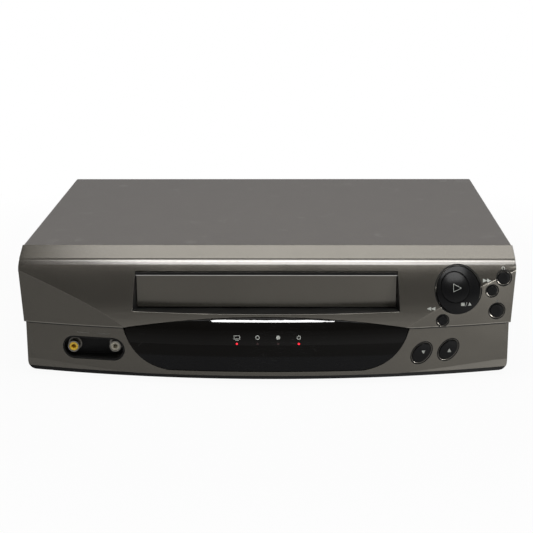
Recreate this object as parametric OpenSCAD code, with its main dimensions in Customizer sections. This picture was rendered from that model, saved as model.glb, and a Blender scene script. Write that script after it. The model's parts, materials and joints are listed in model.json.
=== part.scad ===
// Front loading video cassette recorder, in millimetres.
// X runs to the right, Y to the back and Z up. The origin lies under the middle of the recorder.

/* [Cabinet] */
// Width of the front fascia
fascia_w = 360; // [356:1:376]
// Depth from the fascia's foremost point to the front edge of the cover
fascia_d = 41; // [40:0.5:44]
// Depth of the top cover
cover_d = 245; // [243:1:265]
// Height of the top cover above the ground
cover_top = 94; // [93.5:0.5:98]
// Sheet thickness of the top cover
cover_t = 0.8; // [0.6:0.1:1.2]
// How far the fascia stands out beside the cover
cover_inset = 1; // [0.5:0.1:1.5]
// Height of the feet
foot_h = 4; // [3:0.5:5]
// Radius of a foot
foot_r = 9; // [7:0.5:12]
// Thickness of the chassis floor and walls
chassis_t = 2; // [1.6:0.1:2.4]
// Height of the chassis side walls above its floor
chassis_wall_h = 34; // [20:1:50]
// Thickness of the rear panel
rear_t = 2; // [1.6:0.1:3]

/* [Fascia] */
// Wall thickness of the fascia
fascia_t = 2.5; // [2:0.1:3]
// Radius of the fascia's bow, seen from above
bow_r = 700; // [650:10:900]
// Radius of the brow's curve, seen from the side
brow_r = 103.1; // [100:0.5:108]
// Height of the step between the brow and the lower panel
step_z = 40.8; // [39:0.2:42]
// How far the lower panel lies behind the bow
panel_step = 1; // [0.5:0.1:1.4]
// Radius of the rounded nose under the top strip
nose_r = 2.5; // [2:0.1:3]
// Length of the sloping top strip, front to back
strip_d = 12.3; // [11:0.1:12.8]
// Drop of the sloping top strip
strip_drop = 6.9; // [6:0.1:7.1]
// Depth of the shadow lip along the bottom edge
lip_d = 1; // [0.5:0.1:1.5]

/* [Cassette slot] */
// Width of the slot at the flap
slot_w = 189.2; // [188.8:0.1:190]
// Height of the slot at the flap
slot_h = 27.9; // [27.5:0.1:28.2]
// Height of the slot floor above the ground
slot_z = 51; // [50.6:0.1:51.4]
// Extra width of the slot at the face, on each side
slot_flare = 1.5; // [1:0.1:2]
// Thickness of the slot's cheeks
cheek_t = 2.4; // [2:0.1:2.8]
// Thickness of the flap
flap_t = 2.2; // [1.8:0.1:2.4]
// Radius of the flap's pins
flap_pin_r = 1.2; // [1:0.05:1.4]
// Angle through which the flap swings inwards
flap_swing = 82; // [60:1:84]

/* [Display] */
// Half width of the display window at the step
lens_half_w = 103; // [100:0.5:104]
// Height of the window's arch at the middle
lens_arch_z = 48.3; // [46:0.1:49]
// Height of the window's bottom edge
lens_base_z = 10; // [9.5:0.1:12]
// Thickness of the window behind the bow
lens_t = 10; // [9.6:0.1:10.4]
// Wall of the window's back
lens_wall = 2.2; // [1.8:0.1:2.6]
// Radius of an indicator lamp
led_r = 2.2; // [1.6:0.1:2.5]
// Spacing of the indicator lamps
led_pitch = 14.75; // [12:0.25:17]

/* [Keys] */
// Travel of the play and stop keys
big_travel = 1.5; // [1:0.1:1.5]
// Travel of the small keys
key_travel = 1.2; // [0.8:0.1:1.4]
// Clearance around every key
key_gap = 0.3; // [0.2:0.05:0.4]
// Radius of the stop and eject key
stop_r = 15.6; // [15:0.1:16]
// Radius of the play key
play_r = 9.8; // [9:0.1:10.4]
// Radius of the power key
power_r = 4.4; // [4:0.1:4.6]
// Radius of the fast forward key
forward_r = 3.5; // [3:0.1:3.8]
// Radius of the record key
record_r = 4.8; // [4.2:0.1:5]
// Radius of the rewind key
rewind_r = 3.4; // [3:0.1:3.8]
// Half length of a channel key
channel_a = 8.1; // [7.5:0.1:8.4]
// Half width of a channel key
channel_b = 5.4; // [5:0.1:5.8]

/* [Jacks] */
// Outer radius of a jack's barrel
jack_r = 4.15; // [4:0.05:4.3]
// Bore radius of a jack's barrel
jack_bore_r = 3.3; // [3.2:0.05:3.4]
// Length of a jack's barrel
jack_len = 8; // [7:0.1:8.6]
// Distance between the two front jacks
jack_pitch = 30.4; // [26:0.2:31]
// Radius of the antenna connector's thread
antenna_r = 4.7; // [4.5:0.05:4.8]
// How far the rear connectors stand out behind the cover
rear_out = 4; // [3:0.5:6]

/* [Cassette transport] */
// Length over which the carriage slides in
carriage_in = 60; // [50:1:60]
// Height through which the cassette is lowered
carriage_down = 17.5; // [15:0.1:17.5]
// Thickness of the transport's sheet metal
sheet_t = 1.2; // [1:0.1:1.2]
// Thickness of the deck plate
deck_t = 1.5; // [1.2:0.1:1.8]
// Module of every toothed wheel
gear_m = 1; // [1:0.1:1]
// Teeth of the carriage pinions
pinion_teeth = 12; // [12:1:12]
// Teeth of the loading arm wheels
arm_teeth = 40; // [40:1:40]
// Teeth of the mode cam wheel
cam_teeth = 44; // [40:1:46]
// Teeth of the motor pinion
motor_teeth = 14; // [12:1:16]
// Backlash, measured along the pitch circle
backlash = 0.3; // [0.2:0.02:0.4]
// Distance between the two reel spindles
reel_pitch = 92; // [90:0.5:92]
// Radius of the reel table's rim
reel_r = 24; // [20:0.5:24]
// Radius of the head drum
drum_r = 31; // [30:0.5:31]
// Tilt of the head drum
drum_tilt = 5; // [3:0.5:6]
// Radius of the capstan
capstan_r = 1.6; // [1.4:0.1:1.8]
// Radius of the flywheel
flywheel_r = 20; // [16:0.5:20]
// Radius of the pinch roller
roller_r = 6; // [5.5:0.1:6.4]
// Running clearance of every shaft
run_gap = 0.05; // [0.03:0.01:0.08]

/* [Hidden] */
$fn = 96;

// Small shared clearances and steps
eps = 0.01;
gap = 0.3;
seat = 0.1;
far = 60;

// Cabinet planes
total_d = fascia_d + cover_d + rear_out;
front_y = -total_d / 2;
cover_y = front_y + fascia_d;
cover_rear_y = cover_y + cover_d;
rear_tip_y = cover_rear_y + rear_out;
cover_half_w = fascia_w / 2 - cover_inset;
rear_y = cover_rear_y - cover_t - rear_t;
floor_z = foot_h + chassis_t;
chassis_half_w = cover_half_w - cover_t - gap;
foot_at = [fascia_w / 2 - 40, 22];
rear_foot_y = cover_d - 30;
screw_x = fascia_w / 2 - 60;
screw_drop = 4.6;
hook_x = [fascia_w / 2 - 30, 60];

// Fascia: the bow's axis stands behind the recorder, the brow's axis runs along X
bow_y = front_y + bow_r;
brow_y = front_y + 108.75;
brow_z = foot_h + 17.8;
strip_y = cover_y - strip_d;
strip_z = cover_top - strip_drop;
nose_z = strip_z - 1.2 - nose_r;
nose_y = brow_y - sqrt(pow(brow_r - nose_r, 2) - pow(nose_z - brow_z, 2));
nose_end_z = nose_z + nose_r * (nose_z - brow_z) / (brow_r - nose_r);
lip_h = 2.7;
side_step = 1.2;
side_rake = 2.6;
foot_inset = 7;
corner_steps = 6;
bevel_drop = 0.7;

// Slot and flap
flap_w = slot_w - 1;
pin_bore_half = slot_w / 2 + slot_flare + fascia_t;
slot_top = slot_z + slot_h;
pin_y = front_y + 24.5;
pin_z = slot_top - 1.7;
flap_front = 1;
flap_gap_z = 1;
flap_len = pin_z - slot_z - flap_gap_z;
flap_pin_l = 2;
throat_end = pin_y + 8.5;
sill_end_rise = 1.6;
sill_mid_drop = 0.6;
sill_y = front_y + 9;

// Display window
lens_corner = [96.5, 14];
lens_foot_x = 70;
lens_lean_r = 50;
lens_lean_z = 23;
lens_tuck = 1.5;
lens_back_r = bow_r - lens_t;
lens_gap = 0.15;
lens_steps = 12;
window_half_w = 60;
window_z = [21, 38];
led_z = 31;
led_x0 = -20.6;
led_count = 4;

// Keys: place of each on the face, [x, z]
stop_at = [fascia_w / 2 - 42, 66.7];
play_off = [-2.6, 2.4];
power_at = stop_at + [33, 7.7];
forward_at = stop_at + [24.5, -1.2];
record_at = stop_at + [28.6, -16.4];
rewind_at = stop_at + [-11.2, -21.2];
down_at = [lens_half_w + 9.2, 21.7];
up_at = down_at + [19.5, 1.3];
stop_switch_off = [9, -9];
channel_turn = 50;
boss_t = 2;
flange_t = 1.4;
flange_out = 0.8;
boss_y = cover_y - 13.5;
well_rim = 0.7;

// Front board and its switches
board_t = 1.6;
board_y = cover_y - 5;
board_corner = 5;
board_z = [8, 46];
board_wing_x = 104;
board_wing_top = 84;
board_post_r = 3;
switch_w = 6;
switch_d = 3.6;
switch_tip_r = 1.75;
switch_tip = 0.9;

// Jack bezel
bezel_half = 23.05;
bezel_r = 8.55;
bezel_at = [-lens_half_w - 22.35, 23.75];
board_x = [bezel_at[0] - bezel_half - 1.6, fascia_w / 2 - 7];
board_posts = [
    [-lens_half_w - 9, 43], [lens_half_w + 4, 43], [bezel_at[0] - 20.65, 12], [hook_x[0], 12],
    [lens_half_w + 7, 80]
];
bezel_wall = 1;
bezel_floor_y = front_y + 24.5;
bezel_floor_t = 2;
bezel_flange = 1.2;
jack_neck_r = 3.2;
jack_collar_r = 5;
jack_collar_t = 0.8;
insert_pin_r = 1.6;

// Transport frame: deck_y is the place of the spindles' datum
deck_y = cover_y + 104;
deck_z = foot_h + 22;
deck_top = deck_z + deck_t;
deck_front = -95;
deck_back = 105;
stud_r = 2;
clip_t = 0.6;
clip_r = 3.6;
under_z = deck_z - 0.5;

// Carriage
holder_in = slot_w / 2 - gap;
holder_t = 1;
holder_front = pin_y + flap_len + 2.3;
holder_len = 70;
holder_back = holder_front + holder_len;
holder_floor_t = 0.8;
holder_top_in = 26;
holder_strip = 16;
holder_pin_r = 2.5;
holder_pins = [14, 54];
holder_pin_z = slot_z + 4;
bracket_x = holder_in + holder_t + 2.2;
bracket_foot = 14;
slider_x = bracket_x + sheet_t + gap;
deck_half_w = slider_x;
rail_x = slider_x + sheet_t + 1;
slider_z = holder_pin_z - carriage_down - holder_pin_r - 2;
slot_play = 0.15;
pinion_pr = gear_m * pinion_teeth / 2;
shaft_r = 2;
shaft_z = 84;
rack_z = shaft_z - pinion_pr;
shaft_y = holder_front + carriage_in + 4;
tooth_add = 0.7 * gear_m;
tooth_ded = 1 * gear_m;
bracket_top = shaft_z + 6;

// Tape path
drum_at = [0, deck_y + 72];
arm_x = gear_m * arm_teeth / 2;
arm_y = deck_y + 34;
arm_len = 26;
arm_start = -8;
arm_sweep = 68;
arm_top = under_z;
arm_h = 4;
post_r = 3;
post_base_r = 4;
post_h = 20;
capstan_at = [66, deck_y + 30];
capstan_pulley_r = 8;
clutch_at = [0, deck_y - 48];
clutch_pulley_r = 15;
clutch_rim_r = 12;
friction_gap = 0.1;
wheel_r = 12;
reel_y = deck_y - 25;
reel_z = deck_top + 1.5;
reel_h = 3;
belt_t = 1;
belt_w = 2.4;
belt_z = foot_h + 18;
idler_len = clutch_rim_r + wheel_r + friction_gap;
pinch_at = [90, deck_y + 46];
pinch_reach = roller_r + capstan_r + friction_gap;
pinch_closed = [capstan_at[0], capstan_at[1] + pinch_reach];
pinch_len = norm(pinch_closed - pinch_at);
pinch_angle = atan2(pinch_closed[1] - pinch_at[1], pinch_closed[0] - pinch_at[0]) + 360;
pinch_swing = 22;
cam_at = [-72, deck_y + 52];
motor_at = cam_at + [0, gear_m * (cam_teeth + motor_teeth) / 2];
cam_z = deck_top + 0.5;
cam_h = 4;
motor_r = 10;
motor_h = 24;

// Boards and blocks inside
main_z = foot_h + 8;
main_half_w = chassis_half_w - chassis_t - 4;
main_y = [cover_y + 16, rear_y - 3];
main_post_r = 4;
main_posts = [for (s = [-1, 1], y = [10, 202]) [s * (fascia_w / 2 - 16), y]];
deck_posts = [for (s = [-1, 1], y = [14, 196]) [s * (deck_half_w - 7), y]];
// Middle of the bay between the deck's brackets and the side wall
bay_x = (rail_x + chassis_half_w - chassis_t) / 2;
vent_w = 2.5;
vent_pitch = 5;
vent_count = 12;
vent_len = 50;
rear_vent_x = 40;
core = [52, 34, 40];
coil = [32, 46, 30];
sink_w = 28;
sink_h = 40;
tuner_at = [40 - fascia_w / 2, 58];
tuner_half_w = 12;
tuner_len = 70;
antenna_pitch = 22;
jack_row_x = -96;
jack_row_pitch = 18;
jack_row_z = [30, 46];
gland_at = [fascia_w / 2 - 30, 24];
switch_at = [-57, 32];
switch_travel = 4;
knob_w = 5;
knob_h = 3.4;

// A box between two corners
module box(a, b) {
    translate(a) cube(b - a);
}

// A cylinder along Y from y0 to y1, centred on [x, z]
module rod_y(at, r, y0, y1) {
    translate([at[0], y0, at[1]]) rotate([-90, 0, 0]) cylinder(r = r, h = y1 - y0);
}

// A cylinder along X from x0 to x1, centred on [y, z]
module rod_x(at, r, x0, x1) {
    translate([x0, at[0], at[1]]) rotate([0, 90, 0]) cylinder(r = r, h = x1 - x0);
}

// A drawing in the X-Z plane, pushed along Y from y0 to y1
module push_y(y0, y1) {
    translate([0, y1, 0]) rotate([90, 0, 0]) linear_extrude(y1 - y0) children();
}

// A drawing in the Y-Z plane, pushed along X from x0 to x1
module push_x(x0, x1) {
    translate([x0, 0, 0]) rotate([90, 0, 90]) linear_extrude(x1 - x0) children();
}

// The same piece on the right and on the left
module both_sides() {
    children();
    mirror([1, 0, 0]) children();
}

// A flat stadium: a bar of half length a with round ends of radius r
module stadium(a, r) {
    square([2 * (a - r), 2 * r], center = true);
    for (s = [-1, 1]) translate([s * (a - r), 0]) circle(r = r);
}

// ---- Toothed wheels ----

function involute(rb, r) = let (t = sqrt(max(0, r * r / (rb * rb) - 1))) t * 180 / PI - atan(t);

// Half the angle of a tooth at radius r, for pitch radius rp
function tooth_half(rp, teeth, r) =
    let (rb = rp * cos(20))
    90 / teeth - backlash / 4 / rp * 180 / PI + involute(rb, rp) - involute(rb, max(r, rb));

// Outline of a toothed wheel; one tooth points along +X when turn is 0
module toothed_wheel(teeth, turn = 0) {
    rp = gear_m * teeth / 2;
    root = rp - tooth_ded;
    tip = rp + tooth_add;
    flank = [for (i = [0:3]) root + (tip - root) * i / 3];
    polygon([
        for (k = [0:teeth - 1], s = [-1, 1], i = [0:3])
            let (r = flank[s < 0 ? i : 3 - i], a = turn + k * 360 / teeth + s * tooth_half(rp, teeth, r))
            r * [cos(a), sin(a)]
    ]);
}

// Outline of a rack, length counted in teeth to both sides of x = 0; a gap lies at x = 0
module rack_teeth(first, last) {
    pitch = PI * gear_m;
    half = pitch / 4 - backlash / 4;
    for (k = [first:last])
        translate([(k + 0.5) * pitch, 0]) polygon([
            [-half - tooth_ded * tan(20), -tooth_ded], [half + tooth_ded * tan(20), -tooth_ded],
            [half - tooth_add * tan(20), tooth_add], [-half + tooth_add * tan(20), tooth_add]
        ]);
}

// ---- Fascia surfaces ----

// Everything behind the bow, pushed in by d
module behind_bow(d, z0, z1) {
    translate([0, bow_y, z0]) cylinder(r = bow_r - d, h = z1 - z0, $fn = 360);
}

// Front view of the fascia, pushed in by d
module front_outline(d) {
    half = fascia_w / 2 - d;
    low = half - side_step - side_rake;
    corner_r = foot_inset - side_step;
    polygon([
        for (s = [1, -1])
            let (right = concat(
                [for (i = [0:corner_steps])
                    let (a = -90 + 90 * i / corner_steps)
                    [low - corner_r + corner_r * cos(a), foot_h + d + corner_r * (1 + sin(a))]],
                [[low, step_z], [low + side_step, step_z], [half, strip_z - 5], [half - 0.8, cover_top]]
            ))
            for (i = [0:len(right) - 1])
                let (p = right[s > 0 ? i : len(right) - 1 - i])
                [s * p[0], p[1]]
    ]);
}

// Side view of the fascia's outside
module side_profile() {
    intersection() {
        union() {
            translate([brow_y, brow_z]) circle(r = brow_r, $fn = 360);
            translate([front_y - 1, foot_h]) square([fascia_d, step_z - foot_h]);
        }
        translate([front_y - 1, foot_h]) square([fascia_d + 1, nose_end_z - foot_h]);
    }
    translate([nose_y, nose_z]) circle(r = nose_r);
    translate([nose_y, foot_h]) square([cover_y - nose_y, nose_z + nose_r - foot_h]);
    polygon([[cover_y, foot_h], [cover_y, cover_top], [strip_y, strip_z], [strip_y, foot_h]]);
}

// Side view of the hollow inside the fascia
module side_hollow() {
    intersection() {
        union() {
            translate([brow_y, brow_z]) circle(r = brow_r - fascia_t, $fn = 360);
            translate([front_y, foot_h]) square([fascia_d, step_z - foot_h - fascia_t]);
        }
        polygon([
            [front_y, foot_h + fascia_t], [cover_y + 1, foot_h + fascia_t],
            [cover_y + 1, cover_top - fascia_t], [cover_y, cover_top - fascia_t],
            [strip_y + 1, nose_z + nose_r - fascia_t], [front_y, nose_z + nose_r - fascia_t]
        ]);
    }
}

// Full outer form of the fascia
module fascia_form() {
    intersection() {
        behind_bow(0, foot_h, cover_top);
        push_y(front_y - 1, cover_y) front_outline(0);
        push_x(-fascia_w, fascia_w) side_profile();
    }
}

// The lower panel's recess and the set-back lip under it
module panel_recess() {
    difference() {
        translate([-fascia_w, front_y - 1, foot_h - 1]) cube([2 * fascia_w, fascia_d, step_z - foot_h + 1]);
        behind_bow(panel_step, foot_h - 2, step_z + 1);
    }
    difference() {
        translate([-fascia_w, front_y - 1, foot_h - 1]) cube([2 * fascia_w, fascia_d, lip_h + 1]);
        behind_bow(panel_step + lip_d, foot_h - 2, step_z);
    }
    difference() {
        translate([-fascia_w, front_y - 1, foot_h - 1]) cube([2 * fascia_w, fascia_d, step_z - foot_h + 1]);
        behind_bow(panel_step + bevel_drop, foot_h - 2, step_z + 1);
        both_sides() push_y(front_y - 2, cover_y) polygon([
            [0, foot_h], [92, foot_h + 2.4], [fascia_w / 2 - 15, foot_h + 8.5],
            [fascia_w / 2 - 8, foot_h + 12], [fascia_w / 2 - 5.6, step_z + 2], [0, step_z + 2]
        ]);
    }
}

// Front view of the display window, grown by d
module lens_outline(d) {
    chord = step_z;
    rise = lens_arch_z - chord;
    arch_r = (pow(lens_half_w, 2) + pow(rise, 2)) / (2 * rise);
    arch_a = asin(lens_half_w / arch_r);
    ctrl = [[lens_half_w + d, chord], lens_corner + [d, -d / 2], [lens_foot_x, lens_base_z - d]];
    side = [for (i = [1:lens_steps]) let (t = i / lens_steps)
        (1 - t) * (1 - t) * ctrl[0] + 2 * t * (1 - t) * ctrl[1] + t * t * ctrl[2]];
    arch = [for (i = [-lens_steps:lens_steps]) let (a = arch_a * i / lens_steps)
        [(arch_r + d) * sin(a) + sign(i) * (i == lens_steps || i == -lens_steps ? d : 0),
            lens_arch_z - arch_r + (arch_r + d) * cos(a)]];
    polygon(concat(arch, side, [for (i = [lens_steps - 1:-1:0]) [-side[i][0], side[i][1]]]));
}

// Where a key of the brow or the lower panel meets the face, seen from above
function bow_at(x) = bow_y - sqrt(bow_r * bow_r - x * x);
function brow_at(z) = brow_y - sqrt(brow_r * brow_r - pow(z - brow_z, 2));
function face_y(at) = at[1] > step_z ? max(bow_at(at[0]), brow_at(at[1])) : bow_at(at[0]) + panel_step;

// Lean of the brow at height z, and turn of the bow at x
function lean_at(z) = asin((z - brow_z) / brow_r);
function turn_at(x) = asin(x / bow_r);

// Everything behind a dome of radius r that stands out of the face by h at the place given
module behind_dome(at, r, h) {
    leans = brow_at(at[1]) > bow_at(at[0]) && at[1] > step_z;
    axis = leans
        ? [0, cos(lean_at(at[1])), -sin(lean_at(at[1]))]
        : [-sin(turn_at(at[0])), cos(turn_at(at[0])), 0];
    translate([at[0], face_y(at), at[1]] + (r - h) * axis) sphere(r = r, $fn = 180);
}

// ---- Cabinet ----

module chassis_frame() {
    color("dimgray") difference() {
        union() {
            box([-chassis_half_w, cover_y, foot_h], [chassis_half_w, rear_y, floor_z]);
            both_sides() box([chassis_half_w - chassis_t, cover_y, floor_z - eps],
                [chassis_half_w, rear_y, floor_z + chassis_wall_h]);
            box([-chassis_half_w, rear_y - chassis_t, floor_z - eps], [chassis_half_w, rear_y, floor_z + 3]);
            for (p = main_posts) translate([p[0], cover_y + p[1], floor_z - eps])
                cylinder(r = main_post_r, h = main_z - floor_z + eps);
            for (p = deck_posts) translate([p[0], cover_y + p[1], floor_z - eps])
                cylinder(r = main_post_r, h = deck_z - floor_z + eps);
        }
        for (i = [0:vent_count - 1], s = [-1, 1])
            translate([s * bay_x + (i - vent_count / 2) * vent_pitch, cover_y + 60, foot_h - 1])
            cube([vent_w, vent_len, chassis_t + 2]);
        for (p = deck_posts) translate([p[0], cover_y + p[1], deck_z - 9]) cylinder(r = 1.3, h = 10);
        for (p = main_posts) translate([p[0], cover_y + p[1], main_z - 5]) cylinder(r = 1.3, h = 6);
    }
}

module feet() {
    color("black") for (s = [-1, 1], y = [foot_at[1], rear_foot_y])
        translate([s * foot_at[0], cover_y + y, 0]) {
            cylinder(r1 = foot_r - 1, r2 = foot_r, h = 1);
            translate([0, 0, 1]) cylinder(r = foot_r, h = foot_h - 1);
        }
}

module top_cover() {
    color("dimgray") difference() {
        box([-cover_half_w, cover_y, foot_h + 1], [cover_half_w, cover_rear_y, cover_top]);
        box([-cover_half_w + cover_t, cover_y - 1, foot_h], [cover_half_w - cover_t, cover_rear_y - cover_t,
            cover_top - cover_t]);
        box([-cover_half_w + 6, cover_y + 20, foot_h], [cover_half_w - 6, cover_rear_y + 1, cover_top - 8]);
        for (x = [-screw_x, 0, screw_x])
            rod_y([x, cover_top - screw_drop], 1.8, cover_rear_y - 5, cover_rear_y + 1);
    }
}

module rear_panel() {
    color("black") difference() {
        box([-chassis_half_w, rear_y, floor_z - 1],
            [chassis_half_w, rear_y + rear_t, cover_top - cover_t - gap]);
        for (x = [-screw_x, 0, screw_x])
            rod_y([x, cover_top - screw_drop], 1.4, rear_y - 1, rear_y + rear_t + 1);
        for (s = [-1, 1]) rod_y(antenna_at(s), antenna_r + gap, rear_y - 1, rear_y + 9);
        for (i = [0, 1], z = jack_row_z) rod_y(rear_jack(i, z), jack_collar_r + gap, rear_y - 1, rear_y + 9);
        box([switch_at[0] - knob_w / 2 - seat, rear_y - 1, switch_at[1] - knob_h / 2 - seat],
            [switch_at[0] + knob_w / 2 + switch_travel + seat, rear_y + 9, switch_at[1] + knob_h / 2 + seat]);
        rod_y(gland_at, 5, rear_y - 1, rear_y + 9);
        for (i = [0:vent_count - 1])
            box([rear_vent_x + 7 * i, rear_y - 1, 40], [rear_vent_x + 3 + 7 * i, rear_y + 9, 76]);
    }
    // Guides above and below the channel switch
    color("black") for (z = [switch_at[1] - knob_h / 2 - 3, switch_at[1] + knob_h / 2 + 1.5 + seat])
        box([switch_at[0] - 8, rear_y - 3, z - seat],
            [switch_at[0] + 8 + switch_travel, rear_y + eps, z + 1.5 - seat]);
}

module cover_screws() {
    z = cover_top - screw_drop;
    color("silver") for (x = [-screw_x, 0, screw_x]) difference() {
        union() {
            rod_y([x, z], 3.5, cover_rear_y, cover_rear_y + 1.8);
            rod_y([x, z], 1.4, rear_y - 3, cover_rear_y + 1);
        }
        box([x - 2.4, cover_rear_y + 0.9, z - 0.5], [x + 2.4, cover_rear_y + 3, z + 0.5]);
        box([x - 0.5, cover_rear_y + 0.9, z - 2.4], [x + 0.5, cover_rear_y + 3, z + 2.4]);
    }
}

// ---- Front ----

// A key's guide behind the face, before its hole is cut
module key_boss(at, r) {
    rod_y(at, r + key_gap + boss_t, front_y, boss_y);
}

module fascia_shell() {
    difference() {
        fascia_form();
        intersection() {
            behind_bow(fascia_t, 0, cover_top);
            push_y(front_y - 1, cover_y + 1) front_outline(fascia_t);
            push_x(-fascia_w, fascia_w) side_hollow();
        }
    }
    // Guides, throat and seats grow from the shell's inside
    intersection() {
        fascia_form();
        union() {
            key_boss(stop_at, stop_r);
            key_boss(power_at, power_r);
            key_boss(forward_at, forward_r);
            key_boss(record_at, record_r);
            key_boss(rewind_at, rewind_r);
            for (at = [down_at, up_at]) push_y(front_y, boss_y) channel_outline(at, key_gap + boss_t);
            push_y(front_y, bezel_floor_y) translate(bezel_at) stadium(bezel_half + boss_t, bezel_r + boss_t);
            for (p = board_posts) rod_y(p, board_post_r, front_y, board_y);
            box([-slot_w / 2 - cheek_t, front_y, slot_z - cheek_t],
                [slot_w / 2 + cheek_t, throat_end, slot_top + cheek_t]);
            intersection() {
                behind_bow(0, foot_h, cover_top);
                push_y(front_y, cover_y) lens_outline(lens_gap + boss_t);
                difference() {
                    behind_bow(0, foot_h, cover_top);
                    behind_bow(lens_t + lens_wall, 0, cover_top);
                }
            }
        }
    }
}

// The slot's flared mouth: a straight bar at the flap, a bowed lower lip at the face
module slot_mouth() {
    front_half = slot_w / 2 + slot_flare;
    hull() {
        push_y(pin_y - 2, pin_y - 1.9) translate([-slot_w / 2, slot_z]) square([slot_w, slot_h]);
        push_y(sill_y - 0.1, sill_y) polygon(concat(
            [for (i = [-8:8]) let (u = i / 8)
                [u * front_half, slot_z - sill_mid_drop + (sill_end_rise + sill_mid_drop) * u * u]],
            [[front_half, slot_top], [-front_half, slot_top]]
        ));
    }
}

module front_fascia() {
    color([0.3, 0.28, 0.25]) difference() {
        fascia_shell();
        panel_recess();
        // Cassette slot and the holes for the flap's pins
        slot_mouth();
        box([-slot_w / 2, pin_y - 2 - eps, slot_z], [slot_w / 2, cover_y, slot_top]);
        rod_x([pin_y, pin_z], flap_pin_r + run_gap, -pin_bore_half, pin_bore_half);
        // Seat of the display window, and the opening behind the lamps
        intersection() {
            push_y(front_y - 1, cover_y) lens_outline(lens_gap);
            difference() {
                translate([-fascia_w, front_y - 1, 0]) cube([2 * fascia_w, fascia_d, cover_top]);
                behind_bow(lens_t, 0, cover_top);
            }
        }
        box([-window_half_w, front_y, window_z[0]], [window_half_w, cover_y + 1, window_z[1]]);
        // Key holes with their dished rims
        key_hole(stop_at, stop_r);
        key_hole(power_at, power_r);
        key_hole(forward_at, forward_r);
        key_hole(record_at, record_r);
        key_hole(rewind_at, rewind_r);
        for (at = [down_at, up_at]) push_y(front_y - 1, cover_y) channel_outline(at, key_gap);
        push_y(front_y - 1, cover_y) translate(bezel_at) stadium(bezel_half, bezel_r);
    }
    // Hooks that grip the chassis floor
    color([0.3, 0.28, 0.25]) for (s = [-1, 1], x = hook_x)
        box([s * x - 6, cover_y - 3, floor_z + seat], [s * x + 6, cover_y + 9, floor_z + seat + 1.8]);
}

module key_hole(at, r) {
    rod_y(at, r + key_gap, front_y - 1, cover_y);
    rod_y(at, r + key_gap + well_rim, front_y - 1, face_y(at) + 0.8);
    rod_y(at, r + flange_out + key_gap, boss_y, cover_y);
}

module cassette_door() {
    color([0.28, 0.26, 0.24]) {
        difference() {
            union() {
                push_x(-flap_w / 2, flap_w / 2) {
                    translate([pin_y, pin_z]) circle(r = (flap_t + 0.3) / 2);
                    translate([pin_y - flap_front, pin_z - flap_len]) square([flap_t, flap_len]);
                }
            }
            // Shallow relief on the back, between the end ribs
            box([-flap_w / 2 + 4, pin_y - flap_front + flap_t - 0.7, pin_z - flap_len + 3],
                [flap_w / 2 - 4, pin_y + flap_t, pin_z - 4]);
        }
        rod_x([pin_y, pin_z], flap_pin_r, -flap_w / 2 - flap_pin_l, flap_w / 2 + flap_pin_l);
    }
}

module display_window() {
    lean_c = bow_r - lens_lean_r;
    lean_a = asin((lens_arch_z + 1 - lens_lean_z) / lens_lean_r);
    color([0.05, 0.05, 0.05]) intersection() {
        push_y(front_y - 1, cover_y) lens_outline(0);
        translate([0, bow_y, 0]) rotate_extrude($fn = 720) polygon(concat(
            [[lens_back_r, lens_base_z - 1], [bow_r - lens_tuck, lens_base_z - 1], [bow_r, lens_lean_z - 2]],
            [for (i = [0:8]) let (a = lean_a * i / 8)
                [lean_c + lens_lean_r * cos(a), lens_lean_z + lens_lean_r * sin(a)]],
            [[lens_back_r, lens_lean_z + lens_lean_r * sin(lean_a)]]
        ));
        box([-fascia_w, front_y - 1, 0], [fascia_w, cover_y, cover_top]);
    }
}

module indicator_leds() {
    back = bow_at(0) + lens_t + lens_wall + 0.5;
    seat_y = back + 4;
    color("darkred") for (i = [0:led_count - 1]) let (x = led_x0 + i * led_pitch)
        rod_y([x, led_z], led_r, bow_at(x) + lens_t + gap, seat_y - seat);
    color("white") difference() {
        box([led_x0 - 6, back, led_z - 5], [led_x0 + 6 + (led_count - 1) * led_pitch, board_y, led_z + 5]);
        for (i = [0:led_count - 1]) {
            rod_y([led_x0 + i * led_pitch, led_z], led_r + run_gap, back - 1, seat_y);
            rod_y([led_x0 + i * led_pitch, led_z], led_r - 1, seat_y - eps, board_y + 1);
        }
    }
}

module jack_bezel() {
    color("black") difference() {
        union() {
            intersection() {
                push_y(front_y, bezel_floor_y) translate(bezel_at)
                    stadium(bezel_half - lens_gap, bezel_r - lens_gap);
                behind_bow(panel_step, 0, cover_top);
            }
            push_y(bezel_floor_y, bezel_floor_y + bezel_floor_t) translate(bezel_at)
                stadium(bezel_half + bezel_flange, bezel_r + bezel_flange);
        }
        push_y(front_y - 1, bezel_floor_y) translate(bezel_at)
            stadium(bezel_half - lens_gap - bezel_wall, bezel_r - lens_gap - bezel_wall);
        for (s = [-1, 1]) rod_y(bezel_at + [s * jack_pitch / 2, 0], jack_neck_r + lens_gap, front_y, cover_y);
    }
}

// A jack's metal shell: barrel, collar on the floor plate, and neck through it
module jack_shell(at, y, neck) {
    difference() {
        union() {
            rod_y(at, jack_r, y - jack_len, y);
            rod_y(at, jack_collar_r, y - jack_collar_t, y);
            rod_y(at, jack_neck_r, y - eps, y + neck);
        }
        rod_y(at, jack_bore_r, y - jack_len - 1, y - jack_collar_t);
    }
}

// A jack's coloured plastic insert, with the socket for the plug's pin
module jack_insert(at, y) {
    difference() {
        rod_y(at, jack_bore_r - run_gap, y - jack_len + 0.3, y - jack_collar_t);
        rod_y(at, insert_pin_r, y - jack_len - 1, y - jack_collar_t - 0.8);
    }
}

function rear_jack(i, z) = [jack_row_x + jack_row_pitch * i, z];

module jack_shells() {
    color("silver") {
        for (s = [-1, 1])
            jack_shell(bezel_at + [s * jack_pitch / 2, 0], bezel_floor_y, board_y - bezel_floor_y);
        for (i = [0, 1], z = jack_row_z) jack_shell_rear(rear_jack(i, z));
    }
}

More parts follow.
